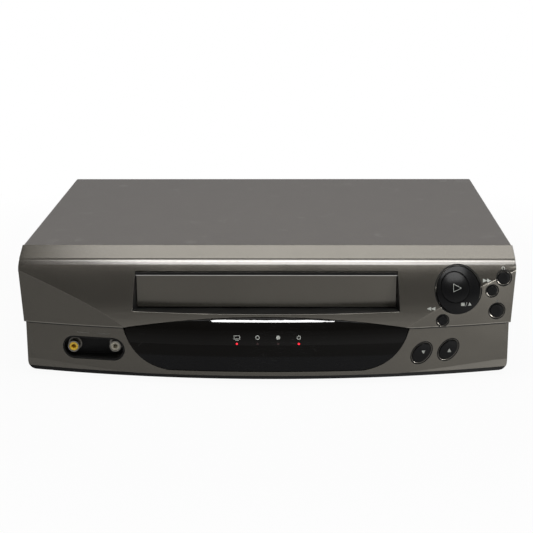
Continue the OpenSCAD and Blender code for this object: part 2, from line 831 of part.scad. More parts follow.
// A rear jack stands out of the rear panel, on its moulded block
module jack_shell_rear(at) {
    difference() {
        union() {
            rod_y(at, jack_r, rear_y, rear_tip_y);
            rod_y(at, jack_collar_r, rear_y - 5, rear_y + rear_t);
        }
        rod_y(at, jack_bore_r, rear_tip_y - jack_len, rear_tip_y + 1);
    }
}

module video_jack_insert() {
    color("gold") {
        jack_insert(bezel_at - [jack_pitch / 2, 0], bezel_floor_y);
        for (i = [0, 1]) insert_rear(rear_jack(i, jack_row_z[1]));
    }
}

module audio_jack_insert() {
    color("white") {
        jack_insert(bezel_at + [jack_pitch / 2, 0], bezel_floor_y);
        for (i = [0, 1]) insert_rear(rear_jack(i, jack_row_z[0]));
    }
}

module insert_rear(at) {
    difference() {
        rod_y(at, jack_bore_r - run_gap, rear_tip_y - jack_len, rear_tip_y - 0.3);
        rod_y(at, insert_pin_r, rear_tip_y - jack_len + 0.8, rear_tip_y + 1);
    }
}

// ---- Keys ----

// Outline of a channel key, grown by d
module channel_outline(at, d) {
    translate(at) rotate([0, 0, channel_turn])
        polygon([for (i = [0:35]) [(channel_a + d) * cos(10 * i), (channel_b + d) * sin(10 * i)]]);
}

// A round key: domed cap in its hole, flange behind the guide and a stem to the switch
module round_key(at, r, dome_r, proud, travel) {
    intersection() {
        rod_y(at, r, front_y - 5, boss_y + seat);
        behind_dome(at, dome_r, proud);
    }
    key_tail(at, r + flange_out, travel);
}

module key_tail(at, r, travel) {
    rod_y(at, r, boss_y + seat, boss_y + seat + flange_t);
    rod_y(at, switch_tip_r, boss_y + seat, board_y - switch_d - switch_tip - travel - seat);
}

module stop_eject_button() {
    color([0.12, 0.12, 0.12]) difference() {
        union() {
            intersection() {
                rod_y(stop_at, stop_r, front_y - 5, boss_y + seat);
                behind_dome(stop_at, 44, 2.2);
            }
            rod_y(stop_at, stop_r + flange_out, boss_y + seat, boss_y + seat + flange_t);
            rod_y(stop_at + stop_switch_off, switch_tip_r, boss_y + seat,
                board_y - switch_d - switch_tip - big_travel - seat);
        }
        rod_y(stop_at + play_off, play_r + key_gap, front_y - 6, cover_y);
    }
}

module play_button() {
    at = stop_at + play_off;
    color([0.1, 0.1, 0.1]) {
        intersection() {
            rod_y(at, play_r, front_y - 5, boss_y + seat + flange_t + big_travel + 0.2);
            behind_dome(stop_at, 30, 3.6);
        }
        rod_y(at, play_r + flange_out, boss_y + seat + flange_t + big_travel + 0.1,
            boss_y + seat + 2 * flange_t + big_travel);
    }
}

module power_button() {
    color([0.1, 0.1, 0.1]) round_key(power_at, power_r, 14, 1, key_travel);
}

module record_button() {
    color([0.1, 0.1, 0.1]) round_key(record_at, record_r, 14, 1, key_travel);
}

module rewind_button() {
    color([0.1, 0.1, 0.1]) round_key(rewind_at, rewind_r, 10, 1, key_travel);
}

module fast_forward_button() {
    color([0.1, 0.1, 0.1]) round_key(forward_at, forward_r, 10, 1, key_travel);
}

module channel_key(at) {
    color([0.1, 0.1, 0.1]) {
        intersection() {
            push_y(front_y - 5, boss_y + seat) channel_outline(at, 0);
            behind_dome(at, 30, 1.6);
        }
        push_y(boss_y + seat, boss_y + seat + flange_t) channel_outline(at, flange_out);
        rod_y(at, switch_tip_r, boss_y + seat, board_y - switch_d - switch_tip - key_travel - seat);
    }
}

module channel_down_button() {
    channel_key(down_at);
}

module channel_up_button() {
    channel_key(up_at);
}

// ---- Front board ----

switch_places = [
    stop_at + play_off, stop_at + stop_switch_off, power_at, forward_at, record_at, rewind_at, down_at, up_at
];

module front_circuit_board() {
    color("darkgreen") difference() {
        push_y(board_y, board_y + board_t) polygon([
            [board_x[0], board_z[0]], [board_x[1] - board_corner, board_z[0]],
            [board_x[1], board_z[0] + board_corner], [board_x[1], board_wing_top],
            [board_wing_x, board_wing_top], [board_wing_x, board_z[1]], [board_x[0], board_z[1]]
        ]);
        for (p = board_posts) rod_y(p, 1.2, board_y - 1, board_y + 3);
    }
}

module tact_switches() {
    color("darkslategray") for (i = [0:len(switch_places) - 1]) let (
        p = switch_places[i],
        w = i == 3 ? switch_w - 1 : switch_w,
        d = i == 0 ? switch_d - 2 : switch_d
    ) {
        box([p[0] - w / 2, board_y - d, p[1] - w / 2], [p[0] + w / 2, board_y, p[1] + w / 2]);
        rod_y(p, switch_tip_r, board_y - d - switch_tip, board_y - d + eps);
    }
}

// ---- Inside the cabinet ----

module main_circuit_board() {
    color("darkgreen") difference() {
        box([-main_half_w, main_y[0], main_z], [main_half_w, main_y[1], main_z + board_t]);
        for (p = deck_posts) stud([p[0], cover_y + p[1]], main_post_r + 0.5, main_z - 1, main_z + 3);
        for (p = main_posts) stud([p[0], cover_y + p[1]], 1.5, main_z - 1, main_z + 3);
    }
}

module on_board(x, y) {
    translate([x, cover_y + y, main_z + board_t]) children();
}

module board_capacitors() {
    color("midnightblue") {
        for (i = [0:3]) on_board(bay_x + 15 * (i - 1.5), 150)
            cylinder(r = 5 + 0.5 * (i % 2), h = 20 + 2 * (i % 3));
        on_board(bay_x - 20, 176) cylinder(r = 9, h = 32);
        for (i = [0:5]) on_board(9 * (i - 2.5) - bay_x, 40) cylinder(r = 3, h = 9);
    }
}

module board_chips() {
    color("black") {
        for (i = [0:2]) on_board(-bay_x - 12, 70 + 30 * i) translate([-9, -11, 0]) cube([18, 22, 3]);
        for (i = [0, 1]) on_board(20 - bay_x, 76 + 34 * i) translate([-10, -10, 0]) cube([20, 20, 2.6]);
        on_board(bay_x, 50) translate([-12, -7, 0]) cube([24, 14, 3.2]);
    }
}

module heat_sink() {
    color("silver") on_board(bay_x + 12, 178) {
        translate([-sink_w / 2, -1.5, 0]) cube([sink_w, 3, sink_h]);
        for (i = [0:6]) translate([-sink_w / 2 + 4.4 * i, -8, 0]) cube([1.6, 16, sink_h]);
    }
}

module power_transformer() {
    color("peru") on_board(bay_x, 110) {
        translate([-core[0] / 2, -core[1] / 2, 0]) cube(core);
        translate([-coil[0] / 2, -coil[1] / 2, (core[2] - coil[2]) / 2]) cube(coil);
    }
}

module tuner_module() {
    color("silver") difference() {
        box([tuner_at[0] - tuner_half_w, rear_y - gap - tuner_len, main_z + board_t],
            [tuner_at[0] + tuner_half_w, rear_y - gap, tuner_at[1] + 18]);
        for (i = [0:5]) box([tuner_at[0] - tuner_half_w - 1, rear_y - 60 + 8 * i, 30],
            [tuner_at[0] - tuner_half_w + 0.5, rear_y - 57 + 8 * i, 60]);
    }
}

function antenna_at(s) = tuner_at + [0, s * antenna_pitch / 2];

module antenna_connectors() {
    color("silver") for (s = [-1, 1]) difference() {
        union() {
            rod_y(antenna_at(s), antenna_r, rear_y - gap, rear_tip_y);
            rod_y(antenna_at(s), antenna_r + 1.6, rear_y + rear_t + 0.1, rear_y + rear_t + 1.4);
        }
        rod_y(antenna_at(s), 3.4, rear_tip_y - 4, rear_tip_y + 1);
    }
}

module cord_gland() {
    color("black") difference() {
        union() {
            rod_y(gland_at, 4.8, rear_y - 3, rear_y + rear_t + 2.6);
            rod_y(gland_at, 6.4, rear_y + rear_t, rear_y + rear_t + 1.2);
            rod_y(gland_at, 6, rear_y - 3, rear_y);
        }
        rod_y(gland_at, 3, rear_y - 4, rear_tip_y);
    }
}

module channel_switch() {
    color("dimgray") {
        box([switch_at[0] - 4.5, rear_y - 2, switch_at[1] - knob_h / 2 - 1.4],
            [switch_at[0] + 4.5, rear_y - seat, switch_at[1] + knob_h / 2 + 1.4]);
        box([switch_at[0] - knob_w / 2, rear_y - 1, switch_at[1] - knob_h / 2],
            [switch_at[0] + knob_w / 2, rear_y + rear_t + 1, switch_at[1] + knob_h / 2]);
    }
}

// ---- Deck ----

// An arc-shaped slot about an arm's pivot
module arc_slot(side) {
    mirror([side < 0 ? 1 : 0, 0, 0]) translate([arm_x, arm_y, deck_z - 1]) {
        rotate([0, 0, arm_start - 1]) rotate_extrude(angle = arm_sweep + 2)
            translate([arm_len - post_base_r - 0.6, 0]) square([2 * post_base_r + 1.2, deck_t + 2]);
        for (a = [arm_start - 1, arm_start + arm_sweep + 1]) rotate([0, 0, a])
            translate([arm_len, 0, 0]) cylinder(r = post_base_r + 0.3, h = deck_t + 2);
    }
}

module stud(at, r, z0, z1) {
    translate([at[0], at[1], z0]) cylinder(r = r, h = z1 - z0);
}

module deck_plate() {
    color("silver") {
        difference() {
            box([-deck_half_w, deck_y + deck_front, deck_z], [deck_half_w, deck_y + deck_back, deck_top]);
            for (s = [-1, 1]) arc_slot(s);
            stud(capstan_at, 4.02, deck_z - 1, deck_top + 1);
            stud(clutch_at, stud_r + run_gap, deck_z - 1, deck_top + 1);
            for (p = deck_posts) stud([p[0], cover_y + p[1]], 1.6, deck_z - 1, deck_top + 1);
            for (x = [-30, 30]) box([x - 14, deck_y - 88, deck_z - 1], [x + 14, deck_y - 70, deck_top + 1]);
        }
        for (s = [-1, 1]) {
            stud([s * arm_x, arm_y], stud_r, arm_top - arm_h - 1.2, deck_z + eps);
            stud([s * reel_pitch / 2, reel_y], 1.5, deck_top - eps, reel_z + 14);
        }
        stud(cam_at, stud_r, deck_top - eps, cam_z + cam_h + 1.2);
        stud(pinch_at, stud_r, deck_top - eps, deck_top + 14);
    }
}

module deck_screws() {
    color("silver") for (p = deck_posts) difference() {
        union() {
            stud([p[0], cover_y + p[1]], 3.2, deck_top, deck_top + 1.8);
            stud([p[0], cover_y + p[1]], 1.3, deck_z - 8, deck_top + eps);
        }
        translate([p[0] - 2.2, cover_y + p[1] - 0.4, deck_top + 0.8]) cube([4.4, 0.8, 2]);
    }
}

// Clips that hold arms and wheels on their studs
module clip(at, z) {
    translate([at[0], at[1], z]) difference() {
        cylinder(r = clip_r, h = clip_t);
        translate([0, 0, -1]) cylinder(r = stud_r, h = clip_t + 2);
    }
}

module retaining_clips() {
    color("silver") {
        for (s = [-1, 1]) clip([s * arm_x, arm_y], arm_top - arm_h - 0.1 - clip_t);
        clip(cam_at, cam_z + cam_h + 0.1);
        clip(pinch_at, deck_top + 12.2);
    }
}

module loader_brackets() {
    y0 = deck_y + deck_front + 3;
    y1 = deck_y + 40;
    pins = [for (p = holder_pins) holder_front + p];
    around = holder_pin_r + 0.5;
    color("lightgray") both_sides() {
        difference() {
            box([bracket_x, y0, deck_top], [bracket_x + sheet_t, y1, bracket_top]);
            box([bracket_x - 1, pins[0] - around, holder_pin_z - carriage_down - around],
                [bracket_x + 2 * sheet_t, pins[1] + carriage_in + around, holder_pin_z + around]);
            rod_x([shaft_y, shaft_z], shaft_r + run_gap, bracket_x - 1, bracket_x + 2 * sheet_t);
        }
        box([bracket_x - 7, y0 + bracket_foot, deck_top],
            [bracket_x + eps, y0 + bracket_foot + 10, deck_top + sheet_t]);
        // Rail under the slider
        box([bracket_x + sheet_t - eps, y0, slider_z - gap - 1.5], [rail_x, y1, slider_z - gap]);
    }
}

module loader_bridge() {
    color("lightgray") box([-bracket_x - sheet_t, shaft_y - 46, bracket_top],
        [bracket_x + sheet_t, shaft_y - 16, bracket_top + sheet_t]);
}

module carriage_slider() {
    pitch = PI * gear_m;
    count = floor(holder_len / pitch) - 1;
    first = -floor((shaft_y - holder_front - 1) / pitch);
    around = holder_pin_r + slot_play;
    color("gray") both_sides() push_x(slider_x, slider_x + sheet_t) {
        difference() {
            translate([holder_front, slider_z]) square([holder_len, rack_z - tooth_ded - slider_z + eps]);
            for (p = holder_pins)
                translate([holder_front + p - around, holder_pin_z - carriage_down - around])
                square([2 * around, carriage_down + 2 * around]);
        }
        translate([shaft_y, rack_z]) rack_teeth(first, first + count);
    }
}

module cassette_holder() {
    outer = holder_in + holder_t;
    floor0 = slot_z - holder_floor_t;
    top0 = slot_z + holder_top_in;
    color("darkgray") {
        both_sides() {
            box([holder_in, holder_front, floor0], [outer, holder_back, top0 + holder_t]);
            box([holder_in - holder_strip, holder_front, floor0], [holder_in + eps, holder_back, slot_z]);
            box([holder_in - holder_strip, holder_back - holder_t, slot_z - eps],
                [holder_in + eps, holder_back, slot_z + 9]);
            for (p = holder_pins)
                rod_x([holder_front + p, holder_pin_z], holder_pin_r, outer - eps, slider_x + sheet_t + 0.6);
        }
        difference() {
            box([-holder_in - eps, holder_front + 2, top0], [holder_in + eps, holder_back, top0 + holder_t]);
            for (s = [-1, 1]) box([s * 45 - 25, holder_front + 18, top0 - 1],
                [s * 45 + 25, holder_back - 14, top0 + 3]);
        }
    }
}

module carriage_drive_shaft() {
    // A pinion tooth points down into the rack's gap
    color("whitesmoke") {
        rod_x([shaft_y, shaft_z], shaft_r, -slider_x - sheet_t - 2.4, slider_x + sheet_t + 2.4);
        for (x = [slider_x, -slider_x - sheet_t - 1.6])
            push_x(x, x + sheet_t + 1.6) translate([shaft_y, shaft_z]) toothed_wheel(pinion_teeth, -90);
    }
}

// ---- Head drum ----

module on_drum() {
    translate([drum_at[0], drum_at[1], deck_top]) rotate([-drum_tilt, 0, 0]) children();
}

module drum_base() {
    color("gray") difference() {
        on_drum() translate([0, 0, -4]) cylinder(r = drum_r - 5, h = 10);
        translate([-far, deck_y, deck_top - 20]) cube([2 * far, 2 * far, 20]);
    }
}

module lower_drum() {
    color("silver") on_drum() difference() {
        translate([0, 0, 6]) cylinder(r = drum_r, h = 14);
        translate([0, 0, 8]) cylinder(r = 3 + run_gap, h = 14);
        // Step on which the tape's lower edge runs
        difference() {
            translate([0, 0, 12]) cylinder(r = drum_r + 1, h = 9);
            translate([0, 0, 11]) cylinder(r = drum_r - 0.4, h = 11);
        }
    }
}

module upper_drum() {
    color("whitesmoke") on_drum() {
        difference() {
            translate([0, 0, 20.4]) cylinder(r = drum_r - 0.4, h = 12);
            translate([0, 0, 29]) difference() {
                cylinder(r = 24, h = 5);
                translate([0, 0, -1]) cylinder(r = 9, h = 7);
            }
        }
        translate([0, 0, 8.3]) cylinder(r = 3, h = 13);
    }
}

// ---- Tape drive ----

module capstan_bearing() {
    color("goldenrod") difference() {
        union() {
            stud(capstan_at, 4, deck_z - 0.5, deck_top + 6);
            stud(capstan_at, 6, deck_top, deck_top + 1);
        }
        stud(capstan_at, capstan_r + run_gap, deck_z - 2, deck_top + 8);
    }
}

module capstan_flywheel() {
    color("silver") {
        difference() {
            stud(capstan_at, flywheel_r, main_z + board_t + 1.9, belt_z - 2);
            for (a = [0:72:288]) translate([capstan_at[0] + 13 * cos(a), capstan_at[1] + 13 * sin(a), 0])
                cylinder(r = 2, h = 40);
        }
        stud(capstan_at, capstan_pulley_r, belt_z - 2 - eps, belt_z + belt_w + 0.6);
        stud(capstan_at, capstan_r, main_z + board_t + 0.6, deck_top + 30);
    }
}

module clutch_pulley() {
    color("dimgray") {
        stud(clutch_at, clutch_pulley_r, belt_z - 0.6, belt_z + belt_w + 0.6);
        stud(clutch_at, stud_r, belt_z, reel_z + 1);
        stud(clutch_at, clutch_rim_r, reel_z, reel_z + reel_h);
    }
}

// Outline round two pulleys, grown by d
module belt_loop(d) {
    span = capstan_at - clutch_at;
    dist = norm(span);
    turn = atan2(span[1], span[0]);
    spread = acos((clutch_pulley_r - capstan_pulley_r) / dist);
    ra = clutch_pulley_r + d;
    rb = capstan_pulley_r + d;
    translate(clutch_at) circle(r = ra);
    translate(capstan_at) circle(r = rb);
    polygon([
        clutch_at + ra * [cos(turn + spread), sin(turn + spread)],
        clutch_at + ra * [cos(turn - spread), sin(turn - spread)],
        capstan_at + rb * [cos(turn - spread), sin(turn - spread)],
        capstan_at + rb * [cos(turn + spread), sin(turn + spread)]
    ]);
}

module drive_belt() {
    color("black") translate([0, 0, belt_z]) linear_extrude(belt_w) difference() {
        belt_loop(friction_gap + belt_t);
        belt_loop(friction_gap);
    }
}

module idler_arm() {
    color("gray") difference() {
        union() {
            translate([clutch_at[0] - 3, clutch_at[1], deck_top + 0.3]) cube([6, idler_len, 0.8]);
            stud(clutch_at, 5, deck_top + 0.3, deck_top + 1.1);
            stud(clutch_at + [0, idler_len], 3, deck_top + 0.3, deck_top + 1.1);
            stud(clutch_at + [0, idler_len], 1.2, deck_top + 1, reel_z + reel_h + 0.5);
        }
        stud(clutch_at, stud_r + run_gap, deck_top - 1, deck_top + 3);
    }
}

module idler_wheel() {
    color("black") difference() {
        stud(clutch_at + [0, idler_len], wheel_r, reel_z, reel_z + reel_h);
        stud(clutch_at + [0, idler_len], 1.2 + run_gap, reel_z - 1, reel_z + reel_h + 1);
    }
}

// A reel table: rim, hub and a splined spindle
module reel(x) {
    color([0.15, 0.15, 0.15]) translate([x, reel_y, reel_z]) difference() {
        union() {
            cylinder(r = reel_r, h = reel_h);
            cylinder(r = 12, h = reel_h + 1.5);
            cylinder(r = 4, h = 15);
            for (a = [90, 210, 330]) rotate([0, 0, a]) translate([2, -0.9, 0]) cube([4.2, 1.8, 13]);
        }
        translate([0, 0, -1]) cylinder(r = 1.5 + run_gap, h = 15.2);
    }
}

module supply_reel() {
    reel(-reel_pitch / 2);
}

module takeup_reel() {
    reel(reel_pitch / 2);
}

pinch_rest = pinch_at + pinch_len * [cos(pinch_angle - pinch_swing), sin(pinch_angle - pinch_swing)];

module pinch_arm() {
    arm_z = deck_top + 8;
    color("gray") difference() {
        union() {
            stud(pinch_at, 4.5, arm_z, arm_z + 4);
            stud(pinch_rest, 3, arm_z, arm_z + 1.5);
            translate([pinch_at[0], pinch_at[1], arm_z]) rotate([0, 0, pinch_angle - pinch_swing])
                translate([0, -2.5, 0]) cube([pinch_len, 5, 1.5]);
            stud(pinch_rest, 1.5, arm_z + 1, arm_z + 17);
        }
        stud(pinch_at, stud_r + run_gap, arm_z - 1, arm_z + 6);
    }
}

module pinch_roller() {
    color("black") difference() {
        stud(pinch_rest, roller_r, deck_top + 9.8, deck_top + 24);
        stud(pinch_rest, 1.5 + run_gap, deck_top + 9, deck_top + 25);
    }
}

// A loading arm with its wheel, bar and roller post; side is -1 or 1
module loading_arm(side) {
    turn = side > 0 ? 180 : 180 / arm_teeth;
    color("ivory") translate([side * arm_x, arm_y, arm_top - arm_h]) difference() {
        union() {
            linear_extrude(arm_h) toothed_wheel(arm_teeth, turn);
            mirror([side < 0 ? 1 : 0, 0, 0]) rotate([0, 0, arm_start]) {
                translate([0, -3.5, 0]) cube([arm_len, 7, arm_h - 0.2]);
                translate([arm_len, 0, 0]) {
                    cylinder(r = post_base_r, h = arm_h + deck_t + 2.2);
                    cylinder(r = post_r, h = arm_h + deck_t + 2 + post_h);
                    translate([0, 0, arm_h + deck_t + 1.5 + post_h]) cylinder(r = post_r + 0.6, h = 1.5);
                }
            }
        }
        translate([0, 0, -1]) cylinder(r = stud_r + run_gap, h = arm_h + 2);
    }
}

module supply_loading_arm() {
    loading_arm(-1);
}

module takeup_loading_arm() {
    loading_arm(1);
}

module mode_cam_gear() {
    color("ivory") translate([cam_at[0], cam_at[1], cam_z]) difference() {
        linear_extrude(cam_h) toothed_wheel(cam_teeth, 90);
        translate([0, 0, -1]) cylinder(r = stud_r + run_gap, h = cam_h + 2);
        // Cam groove on top
        translate([2.5, 0, cam_h - 1.5]) difference() {
            cylinder(r = 15, h = 3);
            translate([0, 0, -1]) cylinder(r = 12, h = 5);
        }
    }
}

module motor_pinion() {
    color("ivory") translate([motor_at[0], motor_at[1], cam_z]) {
        difference() {
            linear_extrude(cam_h) toothed_wheel(motor_teeth, -90 + 180 / motor_teeth);
            translate([0, 0, -1]) cylinder(r = 0.8, h = cam_h + 2);
        }
        translate([0, 0, 0.2]) cylinder(r = 0.9, h = cam_h + 2);
    }
}

module loading_motor() {
    base = cam_z + cam_h + 1.5;
    color("silver") {
        difference() {
            union() {
                stud(motor_at, motor_r, base + 1 - eps, base + motor_h);
                translate([motor_at[0] - 16, motor_at[1] - 8, base]) cube([32, 20, 1]);
            }
            stud(motor_at, 0.9 + run_gap, base - 1, base + 4);
        }
        for (x = [-16, 14]) translate([motor_at[0] + x, motor_at[1] - 4, deck_top])
            cube([2, 16, base - deck_top + eps]);
    }
}

module erase_head() {
    color("silver") translate([-44, deck_y + 64, deck_top]) {
        translate([-5, -4, 0]) cube([10, 8, 12]);
        translate([-3.5, -5.5, 12 - eps]) cube([7, 10, 12]);
    }
}

module audio_control_head() {
    color("silver") translate([52, deck_y + 59, deck_top]) {
        translate([-5, -4, 0]) cube([10, 8, 12]);
        translate([-4, -5, 12 - eps]) cube([8, 9, 14]);
    }
}

chassis_frame();
feet();
top_cover();
rear_panel();
cover_screws();
front_fascia();
cassette_door();
display_window();
indicator_leds();
jack_bezel();
jack_shells();
video_jack_insert();
audio_jack_insert();
play_button();
stop_eject_button();
power_button();
record_button();
rewind_button();
fast_forward_button();
channel_down_button();
channel_up_button();
front_circuit_board();
tact_switches();
main_circuit_board();
board_capacitors();
board_chips();
heat_sink();
power_transformer();
tuner_module();
antenna_connectors();
cord_gland();
channel_switch();
deck_plate();
deck_screws();
retaining_clips();
loader_brackets();
loader_bridge();
carriage_slider();
cassette_holder();
carriage_drive_shaft();
drum_base();
lower_drum();
upper_drum();
capstan_bearing();
capstan_flywheel();
drive_belt();
clutch_pulley();
idler_arm();
idler_wheel();
supply_reel();
takeup_reel();
pinch_arm();
pinch_roller();
supply_loading_arm();
takeup_loading_arm();
mode_cam_gear();
motor_pinion();
loading_motor();
erase_head();
audio_control_head();
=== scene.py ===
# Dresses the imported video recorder: softened edges, finishes, printed marks, lamps and camera.
import json
import math

import bmesh
import bpy
from mathutils import Matrix, Vector
from mathutils.bvhtree import BVHTree


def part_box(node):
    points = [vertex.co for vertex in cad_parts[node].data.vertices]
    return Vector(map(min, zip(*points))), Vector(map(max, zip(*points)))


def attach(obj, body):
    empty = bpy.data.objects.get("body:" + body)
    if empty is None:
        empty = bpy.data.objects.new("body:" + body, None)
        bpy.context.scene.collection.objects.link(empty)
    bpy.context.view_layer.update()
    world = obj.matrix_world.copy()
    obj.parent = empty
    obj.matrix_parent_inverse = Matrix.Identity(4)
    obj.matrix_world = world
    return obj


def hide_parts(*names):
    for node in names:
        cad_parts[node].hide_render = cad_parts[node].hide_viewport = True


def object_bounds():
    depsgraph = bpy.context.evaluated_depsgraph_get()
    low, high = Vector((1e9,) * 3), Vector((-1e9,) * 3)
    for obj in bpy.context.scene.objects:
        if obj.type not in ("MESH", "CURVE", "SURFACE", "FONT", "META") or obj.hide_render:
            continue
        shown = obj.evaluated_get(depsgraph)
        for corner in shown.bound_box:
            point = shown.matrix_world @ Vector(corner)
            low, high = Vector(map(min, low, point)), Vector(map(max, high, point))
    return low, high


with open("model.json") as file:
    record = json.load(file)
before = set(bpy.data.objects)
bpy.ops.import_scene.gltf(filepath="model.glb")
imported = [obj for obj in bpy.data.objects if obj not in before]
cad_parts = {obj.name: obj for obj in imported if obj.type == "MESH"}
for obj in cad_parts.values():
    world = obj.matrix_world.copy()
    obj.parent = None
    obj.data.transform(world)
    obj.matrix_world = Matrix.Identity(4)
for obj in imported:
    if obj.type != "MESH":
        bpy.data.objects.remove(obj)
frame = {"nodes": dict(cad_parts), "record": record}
cadLow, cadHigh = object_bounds()
nodes = frame["nodes"]
bodies = frame["record"]["behaviour"]["bodies"]
bodyOf = {node: body for body, members in bodies.items() for node in members}
slotOf = {name: node.data.materials[0].name.split(".")[0] for name, node in nodes.items()}
mm = 0.001
print("frame loaded:", len(nodes), "nodes")


def addNode(tree, kind, inputs=None, **settings):
    node = tree.nodes.new(kind)
    for key, value in settings.items():
        setattr(node, key, value)
    for key, value in (inputs or {}).items():
        if isinstance(value, bpy.types.NodeSocket):
            tree.links.new(value, node.inputs[key])
        else:
            node.inputs[key].default_value = value
    return node


def mathOf(tree, operation, first, second=0.0, clamp=False):
    node = addNode(tree, "ShaderNodeMath", {0: first, 1: second}, operation=operation, use_clamp=clamp)
    return node.outputs[0]


def times(tree, first, second, clamp=False):
    return mathOf(tree, "MULTIPLY", first, second, clamp)


def plus(tree, first, second, clamp=False):
    return mathOf(tree, "ADD", first, second, clamp)


def larger(tree, first, second):
    return mathOf(tree, "MAXIMUM", first, second)


def axesOf(tree, vector):
    return addNode(tree, "ShaderNodeSeparateXYZ", {0: vector}).outputs


def spread(tree, value, low, high, toLow=0.0, toHigh=1.0):
    inputs = {"Value": value, "From Min": low, "From Max": high, "To Min": toLow, "To Max": toHigh}
    return addNode(tree, "ShaderNodeMapRange", inputs).outputs[0]


def blendOf(tree, factor, first, second):
    node = addNode(tree, "ShaderNodeMix", data_type="RGBA")
    for socket, value in ((node.inputs[0], factor), (node.inputs[6], first), (node.inputs[7], second)):
        if isinstance(value, bpy.types.NodeSocket):
            tree.links.new(value, socket)
        else:
            socket.default_value = value
    return node.outputs[2]


def newGroup(name, inputs, outputs):
    group = bpy.data.node_groups.new(name, "ShaderNodeTree")
    for key, default in inputs.items():
        socket = group.interface.new_socket(key, in_out="INPUT", socket_type="NodeSocketFloat")
        socket.default_value = default
    for key in outputs:
        group.interface.new_socket(key, in_out="OUTPUT", socket_type="NodeSocketFloat")
    return group, group.nodes.new("NodeGroupInput").outputs, group.nodes.new("NodeGroupOutput").inputs


def objectPoint(tree, stretch=(1, 1, 1), turn=(0, 0, 0)):
    point = addNode(tree, "ShaderNodeTexCoord").outputs["Object"]
    if stretch == (1, 1, 1) and turn == (0, 0, 0):
        return point
    turned = [math.radians(angle) for angle in turn]
    inputs = {"Vector": point, "Scale": stretch, "Rotation": turned}
    return addNode(tree, "ShaderNodeMapping", inputs).outputs[0]


def noiseOf(tree, vector, scale, detail=3.0, rough=0.5):
    inputs = {"Vector": vector, "Scale": scale, "Detail": detail, "Roughness": rough}
    return addNode(tree, "ShaderNodeTexNoise", inputs).outputs["Fac"]


def cellsOf(tree, vector, scale, **settings):
    return addNode(tree, "ShaderNodeTexVoronoi", {"Vector": vector, "Scale": scale}, **settings).outputs


def sendMask(group, made, mask, amount):
    group.links.new(times(group, mask, amount, True), made["Mask"])


def makeMouldedGrain():
    # Fine spark-eroded grain, with a slow drift of tone from the moulding
    group, given, made = newGroup("mouldedGrain", {"Scale": 2500.0, "Drift": 40.0}, ["Height", "Tone"])
    point = objectPoint(group)
    fine = noiseOf(group, point, given["Scale"], 4.0, 0.6)
    cells = cellsOf(group, point, given["Scale"])["Distance"]
    height = mathOf(group, "MULTIPLY_ADD", cells, 0.5)
    group.links.new(fine, height.node.inputs[2])
    group.links.new(height, made["Height"])
    group.links.new(noiseOf(group, point, given["Drift"], 2.0), made["Tone"])
    return group


def makeHairScratches():
    # Short fine scratches that lie in three directions, as dusting leaves them
    group, given, made = newGroup("hairScratches", {"Scale": 60.0, "Amount": 0.3}, ["Mask"])
    ways = {(0, 24, 8): (1.0, 1.0, 42.0), (4, -61, 15): (1.0, 1.0, 55.0), (70, 12, 0): (1.0, 48.0, 1.0)}
    lines = []
    for turn, stretch in ways.items():
        streak = noiseOf(group, objectPoint(group, stretch, turn), given["Scale"], 2.0)
        lines.append(spread(group, streak, 0.66, 0.72))
    patches = spread(group, noiseOf(group, objectPoint(group), 22.0, 2.0), 0.45, 0.7)
    total = larger(group, larger(group, lines[0], lines[1]), lines[2])
    sendMask(group, made, times(group, total, patches), given["Amount"])
    return group


def makeSettledDust():
    # Dust gathers on what faces up, thicker in soft patches
    group, given, made = newGroup("settledDust", {"Amount": 0.2}, ["Mask"])
    normal = addNode(group, "ShaderNodeNewGeometry").outputs["Normal"]
    facing = spread(group, axesOf(group, normal)["Z"], 0.35, 1.0)
    point = objectPoint(group)
    cloud = spread(group, noiseOf(group, point, 60.0, 6.0, 0.7), 0.3, 0.9)
    specks = spread(group, noiseOf(group, point, 900.0, 2.0), 0.68, 0.76)
    layer = plus(group, times(group, cloud, 0.35), specks)
    sendMask(group, made, times(group, layer, facing), given["Amount"])
    return group


def makeHandling():
    # Soft smears of grease that change the gloss where hands go
    group, given, made = newGroup("handling", {"Scale": 30.0, "Amount": 0.5}, ["Mask"])
    smear = noiseOf(group, objectPoint(group, (1.0, 1.0, 1.6), (0, 30, 0)), given["Scale"], 4.0, 0.6)
    sendMask(group, made, spread(group, smear, 0.42, 0.68), given["Amount"])
    return group


def makeEdgeRub():
    # Wear along convex edges: where a rounded normal leaves the true one
    group, given, made = newGroup("edgeRub", {"Radius": 0.0006, "Amount": 0.5}, ["Mask"])
    rounded = addNode(group, "ShaderNodeBevel", {"Radius": given["Radius"]}, samples=4).outputs[0]
    normal = addNode(group, "ShaderNodeNewGeometry").outputs["Normal"]
    match = addNode(group, "ShaderNodeVectorMath", {0: rounded, 1: normal}, operation="DOT_PRODUCT")
    bend = spread(group, match.outputs["Value"], 0.995, 0.90)
    broken = spread(group, noiseOf(group, objectPoint(group), 420.0, 4.0), 0.4, 0.62)
    sendMask(group, made, times(group, bend, broken), given["Amount"])
    return group


def makeBrushedLines():
    # Straight drawn lines of sheet metal, along X
    group, given, made = newGroup("brushedLines", {"Scale": 300.0}, ["Height", "Tone"])
    lines = noiseOf(group, objectPoint(group, (0.02, 1.0, 1.0)), given["Scale"], 4.0, 0.6)
    group.links.new(lines, made["Height"])
    group.links.new(noiseOf(group, objectPoint(group, (0.1, 1.0, 1.0)), 60.0, 3.0), made["Tone"])
    return group


effects = {
    "grain": makeMouldedGrain(),
    "scratches": makeHairScratches(),
    "dust": makeSettledDust(),
    "handling": makeHandling(),
    "rub": makeEdgeRub(),
    "brushed": makeBrushedLines(),
}
print("surface effects ready:", len(effects))


def useEffect(tree, name, **values):
    node = tree.nodes.new("ShaderNodeGroup")
    node.node_tree = effects[name]
    for key, value in values.items():
        node.inputs[key].default_value = value
    return node.outputs


